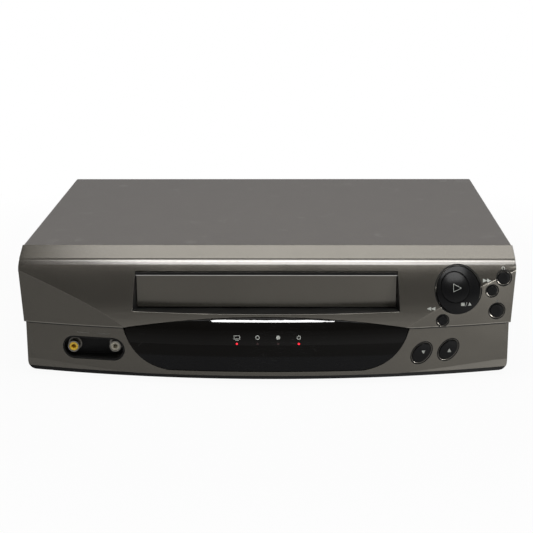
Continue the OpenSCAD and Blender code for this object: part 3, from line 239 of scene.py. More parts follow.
def startMaterial(name):
    material = bpy.data.materials.new(name)
    material.use_nodes = True
    tree = material.node_tree
    shader = tree.nodes["Principled BSDF"]
    return material, tree, shader


def colour(rgb, factor=1.0):
    return tuple(channel * factor for channel in rgb) + (1.0,)


def plugIn(tree, shader, base, rough, height, depth, distance=0.2 * mm):
    # Joins a finish's colour, roughness and relief to its shader
    bump = addNode(tree, "ShaderNodeBump", {"Strength": depth, "Distance": distance, "Height": height})
    tree.links.new(base, shader.inputs["Base Color"])
    tree.links.new(rough, shader.inputs["Roughness"])
    tree.links.new(bump.outputs[0], shader.inputs["Normal"])


# Settled dust on plastic, on metal and on the fascia's paint
dustTones = {"plastic": (0.20, 0.19, 0.17), "metal": (0.24, 0.22, 0.20), "paint": (0.24, 0.22, 0.19)}

# Moulded plastics: colour, roughness, grain per metre with its depth, worn edges and gloss
plasticFinishes = {
    "black_plastic": dict(rgb=(0.006, 0.006, 0.006), rough=0.4, grain=2600, depth=0.05, rub=0.15,
                          gloss=0.16),
    "key_plastic": dict(rgb=(0.0035, 0.0035, 0.0038), rough=0.27, grain=3600, depth=0.02, rub=0.12,
                        gloss=0.18),
    "chassis_plastic": dict(rgb=(0.018, 0.018, 0.017), rough=0.5, grain=1500, depth=0.09, rub=0.2),
    "rubber_black": dict(rgb=(0.014, 0.014, 0.014), rough=0.68, grain=2000, depth=0.08, rub=0.1),
    "yellow_plastic": dict(rgb=(0.78, 0.50, 0.03), rough=0.3, grain=3000, depth=0.02, rub=0.1),
    "white_plastic": dict(rgb=(0.62, 0.58, 0.47), rough=0.3, grain=3000, depth=0.02, rub=0.1),
    "gear_plastic": dict(rgb=(0.66, 0.63, 0.54), rough=0.38, grain=2600, depth=0.03, rub=0.15),
    "lamp_plastic": dict(rgb=(0.30, 0.012, 0.01), rough=0.18, grain=3000, depth=0.01, rub=0.0),
    "switch_plastic": dict(rgb=(0.02, 0.02, 0.022), rough=0.42, grain=2600, depth=0.03, rub=0.1),
    "capacitor_sleeve": dict(rgb=(0.012, 0.018, 0.06), rough=0.3, grain=2600, depth=0.02, rub=0.1),
}

# Metals: colour, roughness, depth of their drawn lines, and how far their tone drifts
metalFinishes = {
    "zinc_steel": dict(rgb=(0.56, 0.55, 0.50), rough=0.34, lines=0.05, tone=0.18),
    "polished_steel": dict(rgb=(0.66, 0.65, 0.62), rough=0.16, lines=0.02, tone=0.08),
    "dull_nickel": dict(rgb=(0.22, 0.21, 0.19), rough=0.36, lines=0.02, tone=0.1),
    "cast_alloy": dict(rgb=(0.50, 0.50, 0.49), rough=0.42, lines=0.03, tone=0.15),
    "brass_bush": dict(rgb=(0.62, 0.42, 0.14), rough=0.28, lines=0.02, tone=0.15),
    "transformer_core": dict(rgb=(0.16, 0.13, 0.10), rough=0.5, lines=0.16, tone=0.3),
}


def makePlastic(name, look):
    material, tree, shader = startMaterial(name)
    grain = useEffect(tree, "grain", Scale=look["grain"])
    dust = useEffect(tree, "dust", Amount=0.12)["Mask"]
    smears = useEffect(tree, "handling", Amount=0.6)["Mask"]
    rub = useEffect(tree, "rub", Amount=look["rub"])["Mask"]
    base = blendOf(tree, grain["Tone"], colour(look["rgb"], 0.85), colour(look["rgb"], 1.15))
    worn = blendOf(tree, rub, base, colour([0.5 * channel + 0.10 for channel in look["rgb"]]))
    dusty = blendOf(tree, dust, worn, colour(dustTones["plastic"]))
    rough = spread(tree, smears, 0.0, 1.0, look["rough"], look["rough"] * 0.78)
    rough = plus(tree, rough, times(tree, dust, 0.4), True)
    plugIn(tree, shader, dusty, rough, grain["Height"], look["depth"])
    shader.inputs["Specular IOR Level"].default_value = look.get("gloss", 0.5)
    return material


def makeMetal(name, look):
    material, tree, shader = startMaterial(name)
    lines = useEffect(tree, "brushed")
    scratches = useEffect(tree, "scratches", Scale=90.0, Amount=0.5)["Mask"]
    dust = useEffect(tree, "dust", Amount=0.15)["Mask"]
    darker, paler = colour(look["rgb"], 1 - look["tone"]), colour(look["rgb"], 1 + look["tone"] / 2)
    base = blendOf(tree, lines["Tone"], darker, paler)
    dusty = blendOf(tree, dust, base, colour(dustTones["metal"]))
    rough = spread(tree, lines["Height"], 0.25, 0.75, look["rough"] * 0.8, look["rough"] * 1.2)
    rough = plus(tree, rough, times(tree, scratches, 0.2), True)
    plugIn(tree, shader, dusty, rough, lines["Height"], look["lines"])
    shader.inputs["Metallic"].default_value = 1.0
    return material


# Metallic taupe paint on the fascia and the flap, in metres, with painted highlights on the nose,
# the step's edge and the skirt, and painted shade in the groove under the step. A band has its low
# and high edge and its softness, an end or an across has two places and the strength at each, and
# the skirt's line joins two places, X and Z
fasciaPaint = {
    "dark": (0.066, 0.060, 0.049),
    "light": (0.100, 0.092, 0.077),
    "polished": (0.28, 0.27, 0.255),
    "rub": (0.17, 0.16, 0.14),
    "noseBand": (0.0828, 0.0863, 0.0005),
    "noseLeftEnd": (-0.178, -0.09, 0.05, 1.0),
    "noseRightEnd": (0.09, 0.178, 1.0, 0.45),
    "groove": (0.0398, 0.0408, 0.00015),
    "stepEdge": (0.0410, 0.0416, 0.00008),
    "skirtFrom": (0.092, 0.0064),
    "skirtTo": (0.165, 0.0125),
    "skirtAcross": (-0.15, 0.05, 0.35, 1.0),
    "skirtAmount": 0.55,
    "sparkle": 0.55,
    "roughness": 0.24,
    "smearGloss": 0.06,
    "metallic": 0.85,
    "coat": 0.5,
    "coatRoughness": 0.16,
    "flakeScale": 5200.0,
    "grainDepth": 0.03,
}


def bandOf(tree, height, low, high, soft):
    # One between two heights, and fading to nothing inside them
    return times(tree, spread(tree, height, low, low + soft), spread(tree, height, high, high - soft))


def skirtOf(tree, place):
    # One under the lower panel's bevel line, stronger to the right: the mask of the skirt's painted
    # highlight
    (nearX, nearZ), (farX, farZ) = fasciaPaint["skirtFrom"], fasciaPaint["skirtTo"]
    line = spread(tree, mathOf(tree, "ABSOLUTE", place["X"]), nearX, farX, nearZ, farZ)
    under = mathOf(tree, "SUBTRACT", line, place["Z"])
    across = spread(tree, place["X"], *fasciaPaint["skirtAcross"])
    return times(tree, spread(tree, under, -0.1 * mm, 0.2 * mm), across)


def makeFasciaPaint():
    look = fasciaPaint
    material, tree, shader = startMaterial("fasciaPaint")
    grain = useEffect(tree, "grain", Scale=2200.0, Drift=18.0)
    flake = cellsOf(tree, objectPoint(tree), look["flakeScale"])
    spark = addNode(tree, "ShaderNodeSeparateColor", {0: flake["Color"]}).outputs[0]
    drift = times(tree, grain["Tone"], 1 - look["sparkle"])
    tone = plus(tree, times(tree, spark, look["sparkle"]), drift)
    base = blendOf(tree, tone, colour(look["dark"]), colour(look["light"]))
    # A painted highlight along the nose under the strip: a paler, more reflective band, fading towards
    # both ends and most to the left
    place = axesOf(tree, objectPoint(tree))
    leftEnd = spread(tree, place["X"], *look["noseLeftEnd"])
    ends = times(tree, leftEnd, spread(tree, place["X"], *look["noseRightEnd"]))
    noseHighlightMask = times(tree, bandOf(tree, place["Z"], *look["noseBand"]), ends)
    base = blendOf(tree, noseHighlightMask, base, colour(look["polished"]))
    # Painted highlights on the step's edge and on the skirt under the lower panel's bevel line, in the
    # worn paint's colour made paler, and a painted shade line in the groove under the step
    base = blendOf(tree, bandOf(tree, place["Z"], *look["stepEdge"]), base, colour(look["rub"], 1.2))
    skirtHighlight = times(tree, skirtOf(tree, place), look["skirtAmount"])
    base = blendOf(tree, skirtHighlight, base, colour(look["rub"], 1.3))
    base = blendOf(tree, bandOf(tree, place["Z"], *look["groove"]), base, colour(look["dark"], 0.12))
    scratches = useEffect(tree, "scratches", Scale=70.0, Amount=0.08)["Mask"]
    rub = useEffect(tree, "rub", Radius=0.8 * mm, Amount=0.35)["Mask"]
    worn = blendOf(tree, larger(tree, scratches, rub), base, colour(look["rub"]))
    dust = useEffect(tree, "dust", Amount=0.16)["Mask"]
    smears = useEffect(tree, "handling", Scale=24.0, Amount=0.8)["Mask"]
    dusty = blendOf(tree, dust, worn, colour(dustTones["paint"]))
    rough = spread(tree, smears, 0.0, 1.0, look["roughness"], look["roughness"] - look["smearGloss"])
    rough = plus(tree, rough, times(tree, dust, 0.3), True)
    plugIn(tree, shader, dusty, rough, grain["Height"], look["grainDepth"])
    shader.inputs["Metallic"].default_value = look["metallic"]
    shader.inputs["Coat Weight"].default_value = look["coat"]
    shader.inputs["Coat Roughness"].default_value = look["coatRoughness"]
    return material


# Baked wrinkle paint on the steel cover
coverPaint = {
    "dark": (0.033, 0.0275, 0.0230),
    "light": (0.048, 0.0405, 0.0345),
    "bare": (0.17, 0.165, 0.155),
    "dust": (0.26, 0.25, 0.22),
    "roughness": 0.5,
    "wrinkleScale": 900.0,
    "wrinkleDepth": 0.16,
}


def makeCoverPaint():
    look = coverPaint
    material, tree, shader = startMaterial("coverPaint")
    point = objectPoint(tree)
    wrinkle = cellsOf(tree, point, look["wrinkleScale"], feature="SMOOTH_F1")["Distance"]
    fine = noiseOf(tree, point, look["wrinkleScale"] * 2.2, 4.0, 0.6)
    height = plus(tree, wrinkle, times(tree, fine, 0.6))
    drift = noiseOf(tree, point, 9.0, 3.0)
    tone = plus(tree, times(tree, height, 0.6), times(tree, drift, 0.25))
    base = blendOf(tree, tone, colour(look["dark"]), colour(look["light"]))
    scratches = useEffect(tree, "scratches", Scale=45.0, Amount=0.3)["Mask"]
    rub = useEffect(tree, "rub", Radius=1.0 * mm, Amount=0.5)["Mask"]
    worn = blendOf(tree, larger(tree, scratches, rub), base, colour(look["bare"]))
    dust = useEffect(tree, "dust", Amount=0.2)["Mask"]
    dusty = blendOf(tree, dust, worn, colour(look["dust"]))
    rough = plus(tree, times(tree, dust, 0.3), look["roughness"], True)
    plugIn(tree, shader, dusty, rough, height, look["wrinkleDepth"], 0.3 * mm)
    return material


# Smoked window: nearly black and polished; its paler part below the lamps' field is a painted reflection
# of the floor in front
windowFinish = {
    "upper": (0.0012, 0.0010, 0.0008),
    "lower": (0.0030, 0.0030, 0.0032),
    "mark": (0.11, 0.11, 0.11),
    "borderZ": 0.0215,
    "borderSoft": 0.0006,
    "roughness": 0.02,
    "specular": 0.11,
}


def makeWindowFinish():
    look = windowFinish
    material, tree, shader = startMaterial("windowFinish")
    height = axesOf(tree, objectPoint(tree))["Z"]
    border, soft = look["borderZ"], look["borderSoft"]
    upper = spread(tree, height, border - soft, border + soft)
    # Paler below the border: a painted reflection of the floor in front
    base = blendOf(tree, upper, colour(look["lower"]), colour(look["upper"]))
    scratches = useEffect(tree, "scratches", Scale=120.0, Amount=0.05)["Mask"]
    dust = useEffect(tree, "dust", Amount=0.12)["Mask"]
    smears = useEffect(tree, "handling", Scale=40.0, Amount=0.5)["Mask"]
    marked = blendOf(tree, larger(tree, scratches, dust), base, colour(look["mark"]))
    rough = plus(tree, times(tree, smears, 0.02), look["roughness"], True)
    tree.links.new(marked, shader.inputs["Base Color"])
    tree.links.new(rough, shader.inputs["Roughness"])
    shader.inputs["Specular IOR Level"].default_value = look["specular"]
    return material


# Phenolic board: green lacquer over paper, with copper lands and tracks showing paler
laminate = {"lacquer": (0.02, 0.055, 0.02), "thin": (0.03, 0.075, 0.028), "copper": (0.05, 0.13, 0.04)}


def makeLaminate():
    material, tree, shader = startMaterial("boardLaminate")
    point = objectPoint(tree)
    tracks = addNode(tree, "ShaderNodeTexBrick", {"Vector": point, "Scale": 90.0, "Mortar Size": 0.012})
    lands = spread(tree, noiseOf(tree, point, 160.0, 0.0), 0.62, 0.64)
    copper = larger(tree, times(tree, tracks.outputs["Fac"], 0.6), lands)
    fibres = noiseOf(tree, point, 700.0, 4.0)
    paper = blendOf(tree, fibres, colour(laminate["lacquer"]), colour(laminate["thin"]))
    tree.links.new(blendOf(tree, copper, paper, colour(laminate["copper"])), shader.inputs["Base Color"])
    bump = addNode(tree, "ShaderNodeBump", {"Strength": 0.3, "Distance": 0.05 * mm, "Height": copper})
    tree.links.new(bump.outputs[0], shader.inputs["Normal"])
    shader.inputs["Roughness"].default_value = 0.32
    return material


# The two inks of the marks, and the indicators' red with and without light
printed = {
    "pale": (0.52, 0.54, 0.50),
    "dim": (0.17, 0.165, 0.15),
    "lit": (0.9, 0.012, 0.03),
    "unlit": (0.03, 0.004, 0.004),
    "glow": 1.3,
}


def makeInk(name, rgb):
    # Pad-printed ink: matt, with a little unevenness
    material, tree, shader = startMaterial(name)
    wear = spread(tree, noiseOf(tree, objectPoint(tree), 2600.0, 3.0), 0.3, 0.6)
    tree.links.new(blendOf(tree, wear, colour(rgb, 0.75), colour(rgb)), shader.inputs["Base Color"])
    shader.inputs["Roughness"].default_value = 0.5
    return material


def makeGlow(name, rgb, glow):
    # Tip of an indicator: faintly mottled, and as bright as its glow says
    material, tree, shader = startMaterial(name)
    speckle = noiseOf(tree, objectPoint(tree), 1800.0, 2.0)
    tree.links.new(blendOf(tree, speckle, colour(rgb, 0.9), colour(rgb, 1.1)), shader.inputs["Base Color"])
    shader.inputs["Emission Color"].default_value = colour(rgb)
    shader.inputs["Emission Strength"].default_value = glow
    shader.inputs["Roughness"].default_value = 0.2
    return material


finishOf = {name: makePlastic(name + "Finish", look) for name, look in plasticFinishes.items()}
finishOf.update({name: makeMetal(name + "Finish", look) for name, look in metalFinishes.items()})
finishOf["fascia_plastic"] = makeFasciaPaint()
finishOf["cover_paint"] = makeCoverPaint()
finishOf["window_plastic"] = makeWindowFinish()
finishOf["board_laminate"] = makeLaminate()
paleInk = makeInk("paleInk", printed["pale"])
dimInk = makeInk("dimInk", printed["dim"])
litRed = makeGlow("litRed", printed["lit"], printed["glow"])
unlitRed = makeGlow("unlitRed", printed["unlit"], 0.0)
print("finishes ready:", len(finishOf))


def mergedCopy(node, weld=0.02 * mm):
    bm = bmesh.new()
    bm.from_mesh(nodes[node].data)
    bmesh.ops.remove_doubles(bm, verts=bm.verts, dist=weld)
    bmesh.ops.dissolve_limit(bm, angle_limit=math.radians(0.4), verts=bm.verts, edges=bm.edges)
    return bm


def edgesOver(bm, degrees, pick=lambda edge: True):
    limit = math.radians(degrees)
    return [edge for edge in bm.edges
            if len(edge.link_faces) == 2 and edge.calc_face_angle(0.0) > limit and pick(edge)]


def roundEdges(bm, edges, width, segments=2):
    # Corners thrown past the width, or out of the piece's box, go back to the surface
    before = BVHTree.FromBMesh(bm)
    low = [min(vert.co[i] for vert in bm.verts) for i in range(3)]
    high = [max(vert.co[i] for vert in bm.verts) for i in range(3)]
    bmesh.ops.bevel(bm, geom=edges, offset=width, offset_type="OFFSET", affect="EDGES",
                    segments=segments, profile=0.5, material=-1, clamp_overlap=False)
    for vert in bm.verts:
        beyond = max(max(low[i] - vert.co[i], vert.co[i] - high[i]) for i in range(3))
        nearest, _, _, away = before.find_nearest(vert.co)
        if away > width or beyond > 0.005 * mm:
            vert.co = nearest
    bmesh.ops.dissolve_degenerate(bm, edges=bm.edges, dist=0.001 * mm)


def softenEdges(bm, width, segments=2, degrees=30):
    roundEdges(bm, edgesOver(bm, degrees), width, segments)


def cutStrips(bm, axis, low, high, step):
    normal = Vector([1.0 if i == axis else 0.0 for i in range(3)])
    count = max(2, round((high - low) / step))
    for i in range(count + 1):
        place = normal * (low + (high - low) * i / count)
        geom = bm.verts[:] + bm.edges[:] + bm.faces[:]
        bmesh.ops.bisect_plane(bm, geom=geom, dist=0.01 * mm, plane_co=place, plane_no=normal)


def pullToArc(co, axes, centre, radius, reach):
    # Moves a place onto an arc it nearly lies on, and says whether it did
    first, second = axes
    away = Vector((co[first] - centre[0], co[second] - centre[1]))
    if abs(away.length - radius) > reach:
        return False
    away *= radius / away.length
    co[first], co[second] = centre[0] + away.x, centre[1] + away.y
    return True


# The piece that stands for each of the frame's nodes
standsFor = {}


def finishPiece(name, bm, body, slotName, replaced=(), material=None, sharp=40):
    bmesh.ops.recalc_face_normals(bm, faces=bm.faces)
    for face in bm.faces:
        face.smooth = True
    for edge in bm.edges:
        edge.smooth = len(edge.link_faces) == 2 and edge.calc_face_angle(0.0) < math.radians(sharp)
    mesh = bpy.data.meshes.new(name)
    bm.to_mesh(mesh)
    bm.free()
    mesh.materials.append(material or finishOf[slotName])
    piece = bpy.data.objects.new(name, mesh)
    bpy.context.scene.collection.objects.link(piece)
    weigh = piece.modifiers.new("evenNormals", "WEIGHTED_NORMAL")
    weigh.keep_sharp = True
    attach(piece, body)
    if replaced:
        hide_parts(*replaced)
        standsFor[replaced[0]] = piece
    return piece


# The face's two curves, as the frame has them, how finely the copy follows them, and where the paint
# stops and black painted shade begins. All are in metres but the angles, in degrees, and the two turns,
# each the least Y of a bare, shaded wall's normal
fascia = {
    "bowRadius": 0.700,
    "browRadius": 0.1031,
    "browDepth": 0.10875,
    "browHeight": 0.0218,
    "near": 0.00012,
    "merge": 0.0001,
    "panelStep": 0.001,
    "lipStep": 0.001,
    "stepHeight": 0.0408,
    "stripWidth": 0.0045,
    "stripMargin": 0.004,
    "rowHeight": 0.003,
    "rowsOverStep": 0.002,
    "rowsUnderTop": 0.011,
    "edge": 0.0003,
    "edgeAngle": 28,
    "creaseAngle": 2.5,
    "creaseEnd": 0.005,
    "lipTop": 0.0068,
    "slotHalf": 0.0966,
    "slotTop": 0.0792,
    "sill": 0.0498,
    "slotDepth": 0.0008,
    "slotTurn": -0.72,
    "bareDepth": 0.0035,
    "bareTurn": -0.5,
    "stripLow": 0.082,
}
bowCentre = (0.0, cadLow.y + fascia["bowRadius"])
browCentre = (cadLow.y + fascia["browDepth"], fascia["browHeight"])


def bowY(x):
    return bowCentre[1] - math.sqrt(fascia["bowRadius"] ** 2 - x ** 2)


def onBow(co, step=0.0):
    return pullToArc(co, (0, 1), bowCentre, fascia["bowRadius"] - step, fascia["near"])


def onBrow(co):
    overStep = co.z > fascia["stepHeight"] - fascia["merge"]
    return overStep and pullToArc(co, (1, 2), browCentre, fascia["browRadius"], fascia["near"])


def buildFascia():
    bm = mergedCopy("front_fascia", 0.05 * mm)
    low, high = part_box("front_fascia")
    margin = fascia["stripMargin"]
    cutStrips(bm, 0, low.x + margin, high.x - margin, fascia["stripWidth"])
    rowsFrom = fascia["stepHeight"] + fascia["rowsOverStep"]
    cutStrips(bm, 2, rowsFrom, high.z - fascia["rowsUnderTop"], fascia["rowHeight"])
    bmesh.ops.remove_doubles(bm, verts=bm.verts, dist=fascia["merge"])
    creased = set()
    for vert in bm.verts:
        for _ in range(3):
            bow, brow = onBow(vert.co), onBrow(vert.co)
        if bow and brow:
            creased.add(vert)
        for step in (fascia["panelStep"], fascia["panelStep"] + fascia["lipStep"]):
            onBow(vert.co, step)

    def onCrease(edge):
        # The crease where the bow meets the brow is crisp, though its angle is small
        inside = max(abs(vert.co.x) for vert in edge.verts) < high.x - fascia["creaseEnd"]
        return inside and creased.issuperset(edge.verts)

    hard = edgesOver(bm, fascia["edgeAngle"])
    crease = [edge for edge in edgesOver(bm, fascia["creaseAngle"], onCrease) if edge not in hard]
    roundEdges(bm, hard + crease, fascia["edge"])
    shell = finishPiece("fasciaShell", bm, "cabinet", "fascia_plastic", ["front_fascia"])
    paintShadedRecesses(shell.data)


def paintShadedRecesses(mesh):
    # The paint stops at the holes: their walls, the slot's inside and the bottom lip take bare black
    # plastic, which stands as painted shade in these recesses
    mesh.materials.append(finishOf["black_plastic"])
    for polygon in mesh.polygons:
        centre, turn = polygon.center, polygon.normal.y
        depth = centre.y - bowY(centre.x)
        underStrip = not centre.z > fascia["stripLow"]
        acrossSlot = abs(centre.x) < fascia["slotHalf"] and fascia["sill"] < centre.z < fascia["slotTop"]
        onLip = centre.z < fascia["lipTop"] and depth > fascia["panelStep"] + fascia["lipStep"] / 2
        inHole = underStrip and depth > fascia["bareDepth"] and turn > fascia["bareTurn"]
        inSlot = acrossSlot and depth > fascia["slotDepth"] and turn > fascia["slotTurn"]
        if onLip or inHole or inSlot:
            polygon.material_index = 1


# The cover's bends are the long edges near its top and its sides
cover = {
    "corner": 0.0018,
    "cornerSegments": 5,
    "bendAngle": 60,
    "bendLength": 0.01,
    "bendNear": 0.002,
    "edge": 0.00025,
    "edgeAngle": 50,
}


def buildCover():
    bm = mergedCopy("top_cover")
    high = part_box("top_cover")[1]
    near = cover["bendNear"]

    def isBend(edge):
        a, b = (vert.co for vert in edge.verts)
        along = abs(a.y - b.y) > cover["bendLength"]
        return along and min(a.z, b.z) > high.z - near and abs(a.x) > high.x - near

    bends = edgesOver(bm, cover["bendAngle"], isBend)
    roundEdges(bm, bends, cover["corner"], cover["cornerSegments"])
    softenEdges(bm, cover["edge"], degrees=cover["edgeAngle"])
    finishPiece("coverShell", bm, "cabinet", "cover_paint", ["top_cover"])


# The window's face, as the frame has it, and how finely the copy follows it
window = {
    "leanRadius": 0.050,
    "leanFrom": 0.023,
    "faceFrom": 0.021,
    "near": 0.00015,
    "merge": 0.00012,
    "columns": 0.003,
    "columnMargin": 0.002,
    "rows": 0.0015,
    "rowsFrom": 0.0225,
    "rowsUnderTop": 0.0012,
    "edge": 0.0005,
}


def windowRadius(z):
    # Radius of the window's face about the bow's axis: it leans back above leanFrom
    rise = max(0.0, z - window["leanFrom"])
    return fascia["bowRadius"] - window["leanRadius"] + math.sqrt(window["leanRadius"] ** 2 - rise ** 2)


def buildWindow():
    bm = mergedCopy("display_window", 0.05 * mm)
    low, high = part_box("display_window")
    margin = window["columnMargin"]
    cutStrips(bm, 0, low.x + margin, high.x - margin, window["columns"])
    cutStrips(bm, 2, window["rowsFrom"], high.z - window["rowsUnderTop"], window["rows"])
    bmesh.ops.remove_doubles(bm, verts=bm.verts, dist=window["merge"])
    for vert in bm.verts:
        if vert.co.z > window["faceFrom"]:
            pullToArc(vert.co, (0, 1), bowCentre, windowRadius(vert.co.z), window["near"])
    softenEdges(bm, window["edge"], segments=3)
    finishPiece("displayLens", bm, "cabinet", "window_plastic", ["display_window"], sharp=24)


# Every other piece that is rounded, and its edges' width in mm
edgeWidths = {
    "cassette_door": 0.25, "jack_bezel": 0.2, "jack_shells": 0.15, "video_jack_insert": 0.15,
    "audio_jack_insert": 0.15, "play_button": 0.3, "stop_eject_button": 0.3, "power_button": 0.3,
    "record_button": 0.3, "rewind_button": 0.25, "fast_forward_button": 0.25,
    "channel_down_button": 0.35, "channel_up_button": 0.35, "feet": 0.5, "rear_panel": 0.25,
    "cover_screws": 0.15, "antenna_connectors": 0.15, "cord_gland": 0.3, "channel_switch": 0.25,
    "chassis_frame": 0.2, "cassette_holder": 0.15, "loader_brackets": 0.15, "loader_bridge": 0.15,
    "deck_plate": 0.15, "deck_screws": 0.12, "upper_drum": 0.25, "lower_drum": 0.2,
    "supply_reel": 0.25, "takeup_reel": 0.25, "capstan_flywheel": 0.25, "clutch_pulley": 0.2,
    "power_transformer": 0.4, "heat_sink": 0.2, "tuner_module": 0.3, "board_capacitors": 0.5,
    "board_chips": 0.2, "loading_motor": 0.3, "erase_head": 0.3, "audio_control_head": 0.3,
    "pinch_roller": 0.3, "idler_wheel": 0.3, "drum_base": 0.3, "tact_switches": 0.1,
    "main_circuit_board": 0.1, "front_circuit_board": 0.1, "indicator_leds": 0.2,
}

# Pieces whose finish differs from the rest of their slot
ownFinish = {"jack_shells": "dull_nickel", "antenna_connectors": "dull_nickel"}


def camelName(node):
    words = node.split("_")
    return words[0] + "".join(word.capitalize() for word in words[1:]) + "Part"


# Keys with a finger dish: how deep their crown is in metres, where the rim begins as a share of
# the reach, and the dish's depth as a share of the crown's
dishedKeys = {
    "nodes": ("power_button", "record_button", "rewind_button", "fast_forward_button"),
    "crown": 0.0012,
    "rim": 0.97,
    "depth": 0.7,
}


def dishFront(bm):
    # Turns the key's crown into a shallow finger dish inside its rim
    front = min(vert.co.y for vert in bm.verts)
    crown = [vert for vert in bm.verts if vert.co.y < front + dishedKeys["crown"]]
    middle = sum((vert.co for vert in crown), Vector()) / len(crown)
    away = [(vert.co.xz - middle.xz).length for vert in crown]
    rimFrom = dishedKeys["rim"] * max(away)
    rim = min(vert.co.y for vert, length in zip(crown, away) if length > rimFrom)
    for vert in crown:
        if vert.co.y < rim - 0.005 * mm:
            vert.co.y = rim + (rim - vert.co.y) * dishedKeys["depth"]


def buildSoftened():
    for node, width in edgeWidths.items():
        bm = mergedCopy(node)
        if node in dishedKeys["nodes"]:
            dishFront(bm)
        softenEdges(bm, width * mm, degrees=35)
        finish = finishOf[ownFinish.get(node, slotOf[node])]
        finishPiece(camelName(node), bm, bodyOf[node], slotOf[node], [node], finish)
    # What keeps its shape from the frame gets its finish too
    for node in nodes:
        if not nodes[node].hide_render:
            nodes[node].data.materials[0] = finishOf[slotOf[node]]


# A black strip along the flap's top, standing as painted shade in the gap under the slot's top, with a
# bright steel bead under it as a painted highlight line. They are shorter than the flap, sunk into it a
# little, and their edges are rounded by a share of their depth
doorTrim = {
    "sealTop": 0.0780,
    "sealHeight": 0.0019,
    "sealDepth": 0.0002,
    "beadHeight": 0.0005,
    "beadDepth": 0.0004,
    "shorter": 0.0012,
    "sunk": 0.0001,
    "round": 0.3,
}


def buildTrimStrip(name, kind, top, slotName):
    low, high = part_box("cassette_door")
    wide = high.x - low.x - doorTrim["shorter"]
    tall, deep, sunk = doorTrim[kind + "Height"], doorTrim[kind + "Depth"], doorTrim["sunk"]
    bm = bmesh.new()
    bmesh.ops.create_cube(bm, size=1.0)
    bmesh.ops.scale(bm, vec=(wide, deep + sunk, tall), verts=bm.verts)
    bmesh.ops.translate(bm, vec=(0, low.y + (sunk - deep) / 2, top - tall / 2), verts=bm.verts)
    softenEdges(bm, deep * doorTrim["round"], degrees=60)
    finishPiece(name, bm, "cassette_door", slotName)


def buildDoorTrim():
    # Painted shade: a black strip at the flap's top; painted highlight: a bright steel bead under it
    buildTrimStrip("doorSeal", "seal", doorTrim["sealTop"], "black_plastic")
    buildTrimStrip("doorBead", "bead", doorTrim["sealTop"] - doorTrim["sealHeight"], "polished_steel")


def frontOf(node):
    # Finds the front of a node's piece over any place on the face
    bm = bmesh.new()
    bm.from_mesh(standsFor.get(node, nodes[node]).data)
    tree = BVHTree.FromBMesh(bm)
    bm.free()

    def frontY(x, z):
        hit = tree.ray_cast(Vector((x, cadLow.y - 20 * mm, z)), Vector((0, 1, 0)))[0]
        if hit is None:
            raise ValueError(f"no front of {node} at {x:.4f}, {z:.4f}")
        return hit.y
    return frontY


def circlePoints(radius, start=0.0, sweep=360.0, count=24):
    steps = count if sweep >= 360 else count + 1
    return [(radius * math.cos(math.radians(start + sweep * i / count)),
             radius * math.sin(math.radians(start + sweep * i / count))) for i in range(steps)]


def triangle(width, height, turn=0.0, shift=(0, 0)):
    # Points to +X at turn 0
    c, s = math.cos(math.radians(turn)), math.sin(math.radians(turn))
    points = [(-width / 2, -height / 2), (width / 2, 0), (-width / 2, height / 2)]
    return [(x * c - y * s + shift[0], x * s + y * c + shift[1]) for x, y in points]


def bar(width, height, shift=(0, 0)):
    corners = ((-1, -1), (1, -1), (1, 1), (-1, 1))
    return [(x * width / 2 + shift[0], y * height / 2 + shift[1]) for x, y in corners]


def arcBand(radius, line, start, sweep):
    outer = circlePoints(radius + line / 2, start, sweep)
    inner = circlePoints(radius - line / 2, start, sweep)
    return outer + inner[::-1]


def powerSign(radius, line, tall, rise):
    # A ring that is open at its top, and a bar in the gap
    return [arcBand(radius, line, 125, 290), bar(line, tall, (0, rise))]


def turnToFront(bm):
    bmesh.ops.recalc_face_normals(bm, faces=bm.faces)
    if sum(face.normal.y for face in bm.faces) > 0:
        bmesh.ops.reverse_faces(bm, faces=bm.faces)


# Printed ink, in mm: how finely it follows the surface, how proud it is, and how thick
ink = {"grid": 0.6, "proud": 0.04, "thick": 0.06}


def printMark(name, node, at, outlines, material=paleInk, ring=0.0):
    # Outlines are in mm about the place; ring keeps only a line of that width
    bm = bmesh.new()
    for outline in outlines:
        bm.faces.new([bm.verts.new((at[0] + x * mm, 0, at[1] + z * mm)) for x, z in outline])
    if ring:
        bm.normal_update()
        solid = bm.faces[:]
        bmesh.ops.inset_individual(bm, faces=solid, thickness=ring * mm)
        bmesh.ops.delete(bm, geom=solid, context="FACES")
    xs, zs = [vert.co.x for vert in bm.verts], [vert.co.z for vert in bm.verts]
    cutStrips(bm, 0, min(xs), max(xs), ink["grid"] * mm)
    cutStrips(bm, 2, min(zs), max(zs), ink["grid"] * mm)
    bmesh.ops.triangulate(bm, faces=bm.faces)
    frontY = frontOf(node)
    for vert in bm.verts:
        vert.co.y = frontY(vert.co.x, vert.co.z) - ink["proud"] * mm
    turnToFront(bm)
    bmesh.ops.solidify(bm, geom=bm.faces[:], thickness=ink["thick"] * mm)
    finishPiece(name, bm, bodyOf[node], slotOf[node], material=material)


def placeOf(node, dx=0.0, dz=0.0):
    # The middle of a piece's front, or a place dx to the right of it and dz above, in mm
    low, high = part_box(node)
    return ((low.x + high.x) / 2 + dx * mm, (low.z + high.z) / 2 + dz * mm)


def faceY(x, z):
    # The painted face at any place: the bow, cut back by the brow above the step
    bow = bowY(x)
    if z < fascia["stepHeight"]:
        return bow + fascia["panelStep"]
    brow = browCentre[0] - math.sqrt(fascia["browRadius"] ** 2 - (z - browCentre[1]) ** 2)
    return max(bow, brow)


# Black rings round the keys, standing as painted shade in the gaps of their wells, in mm: how far each
# reaches past its key and under it, how proud of the face it is and how thick; the channel keys' ovals
# are tilted by so many degrees
keyShadeRings = {"reach": 0.75, "inset": 0.1, "proud": 0.06, "thick": 0.2, "tilt": 50, "segments": 72}


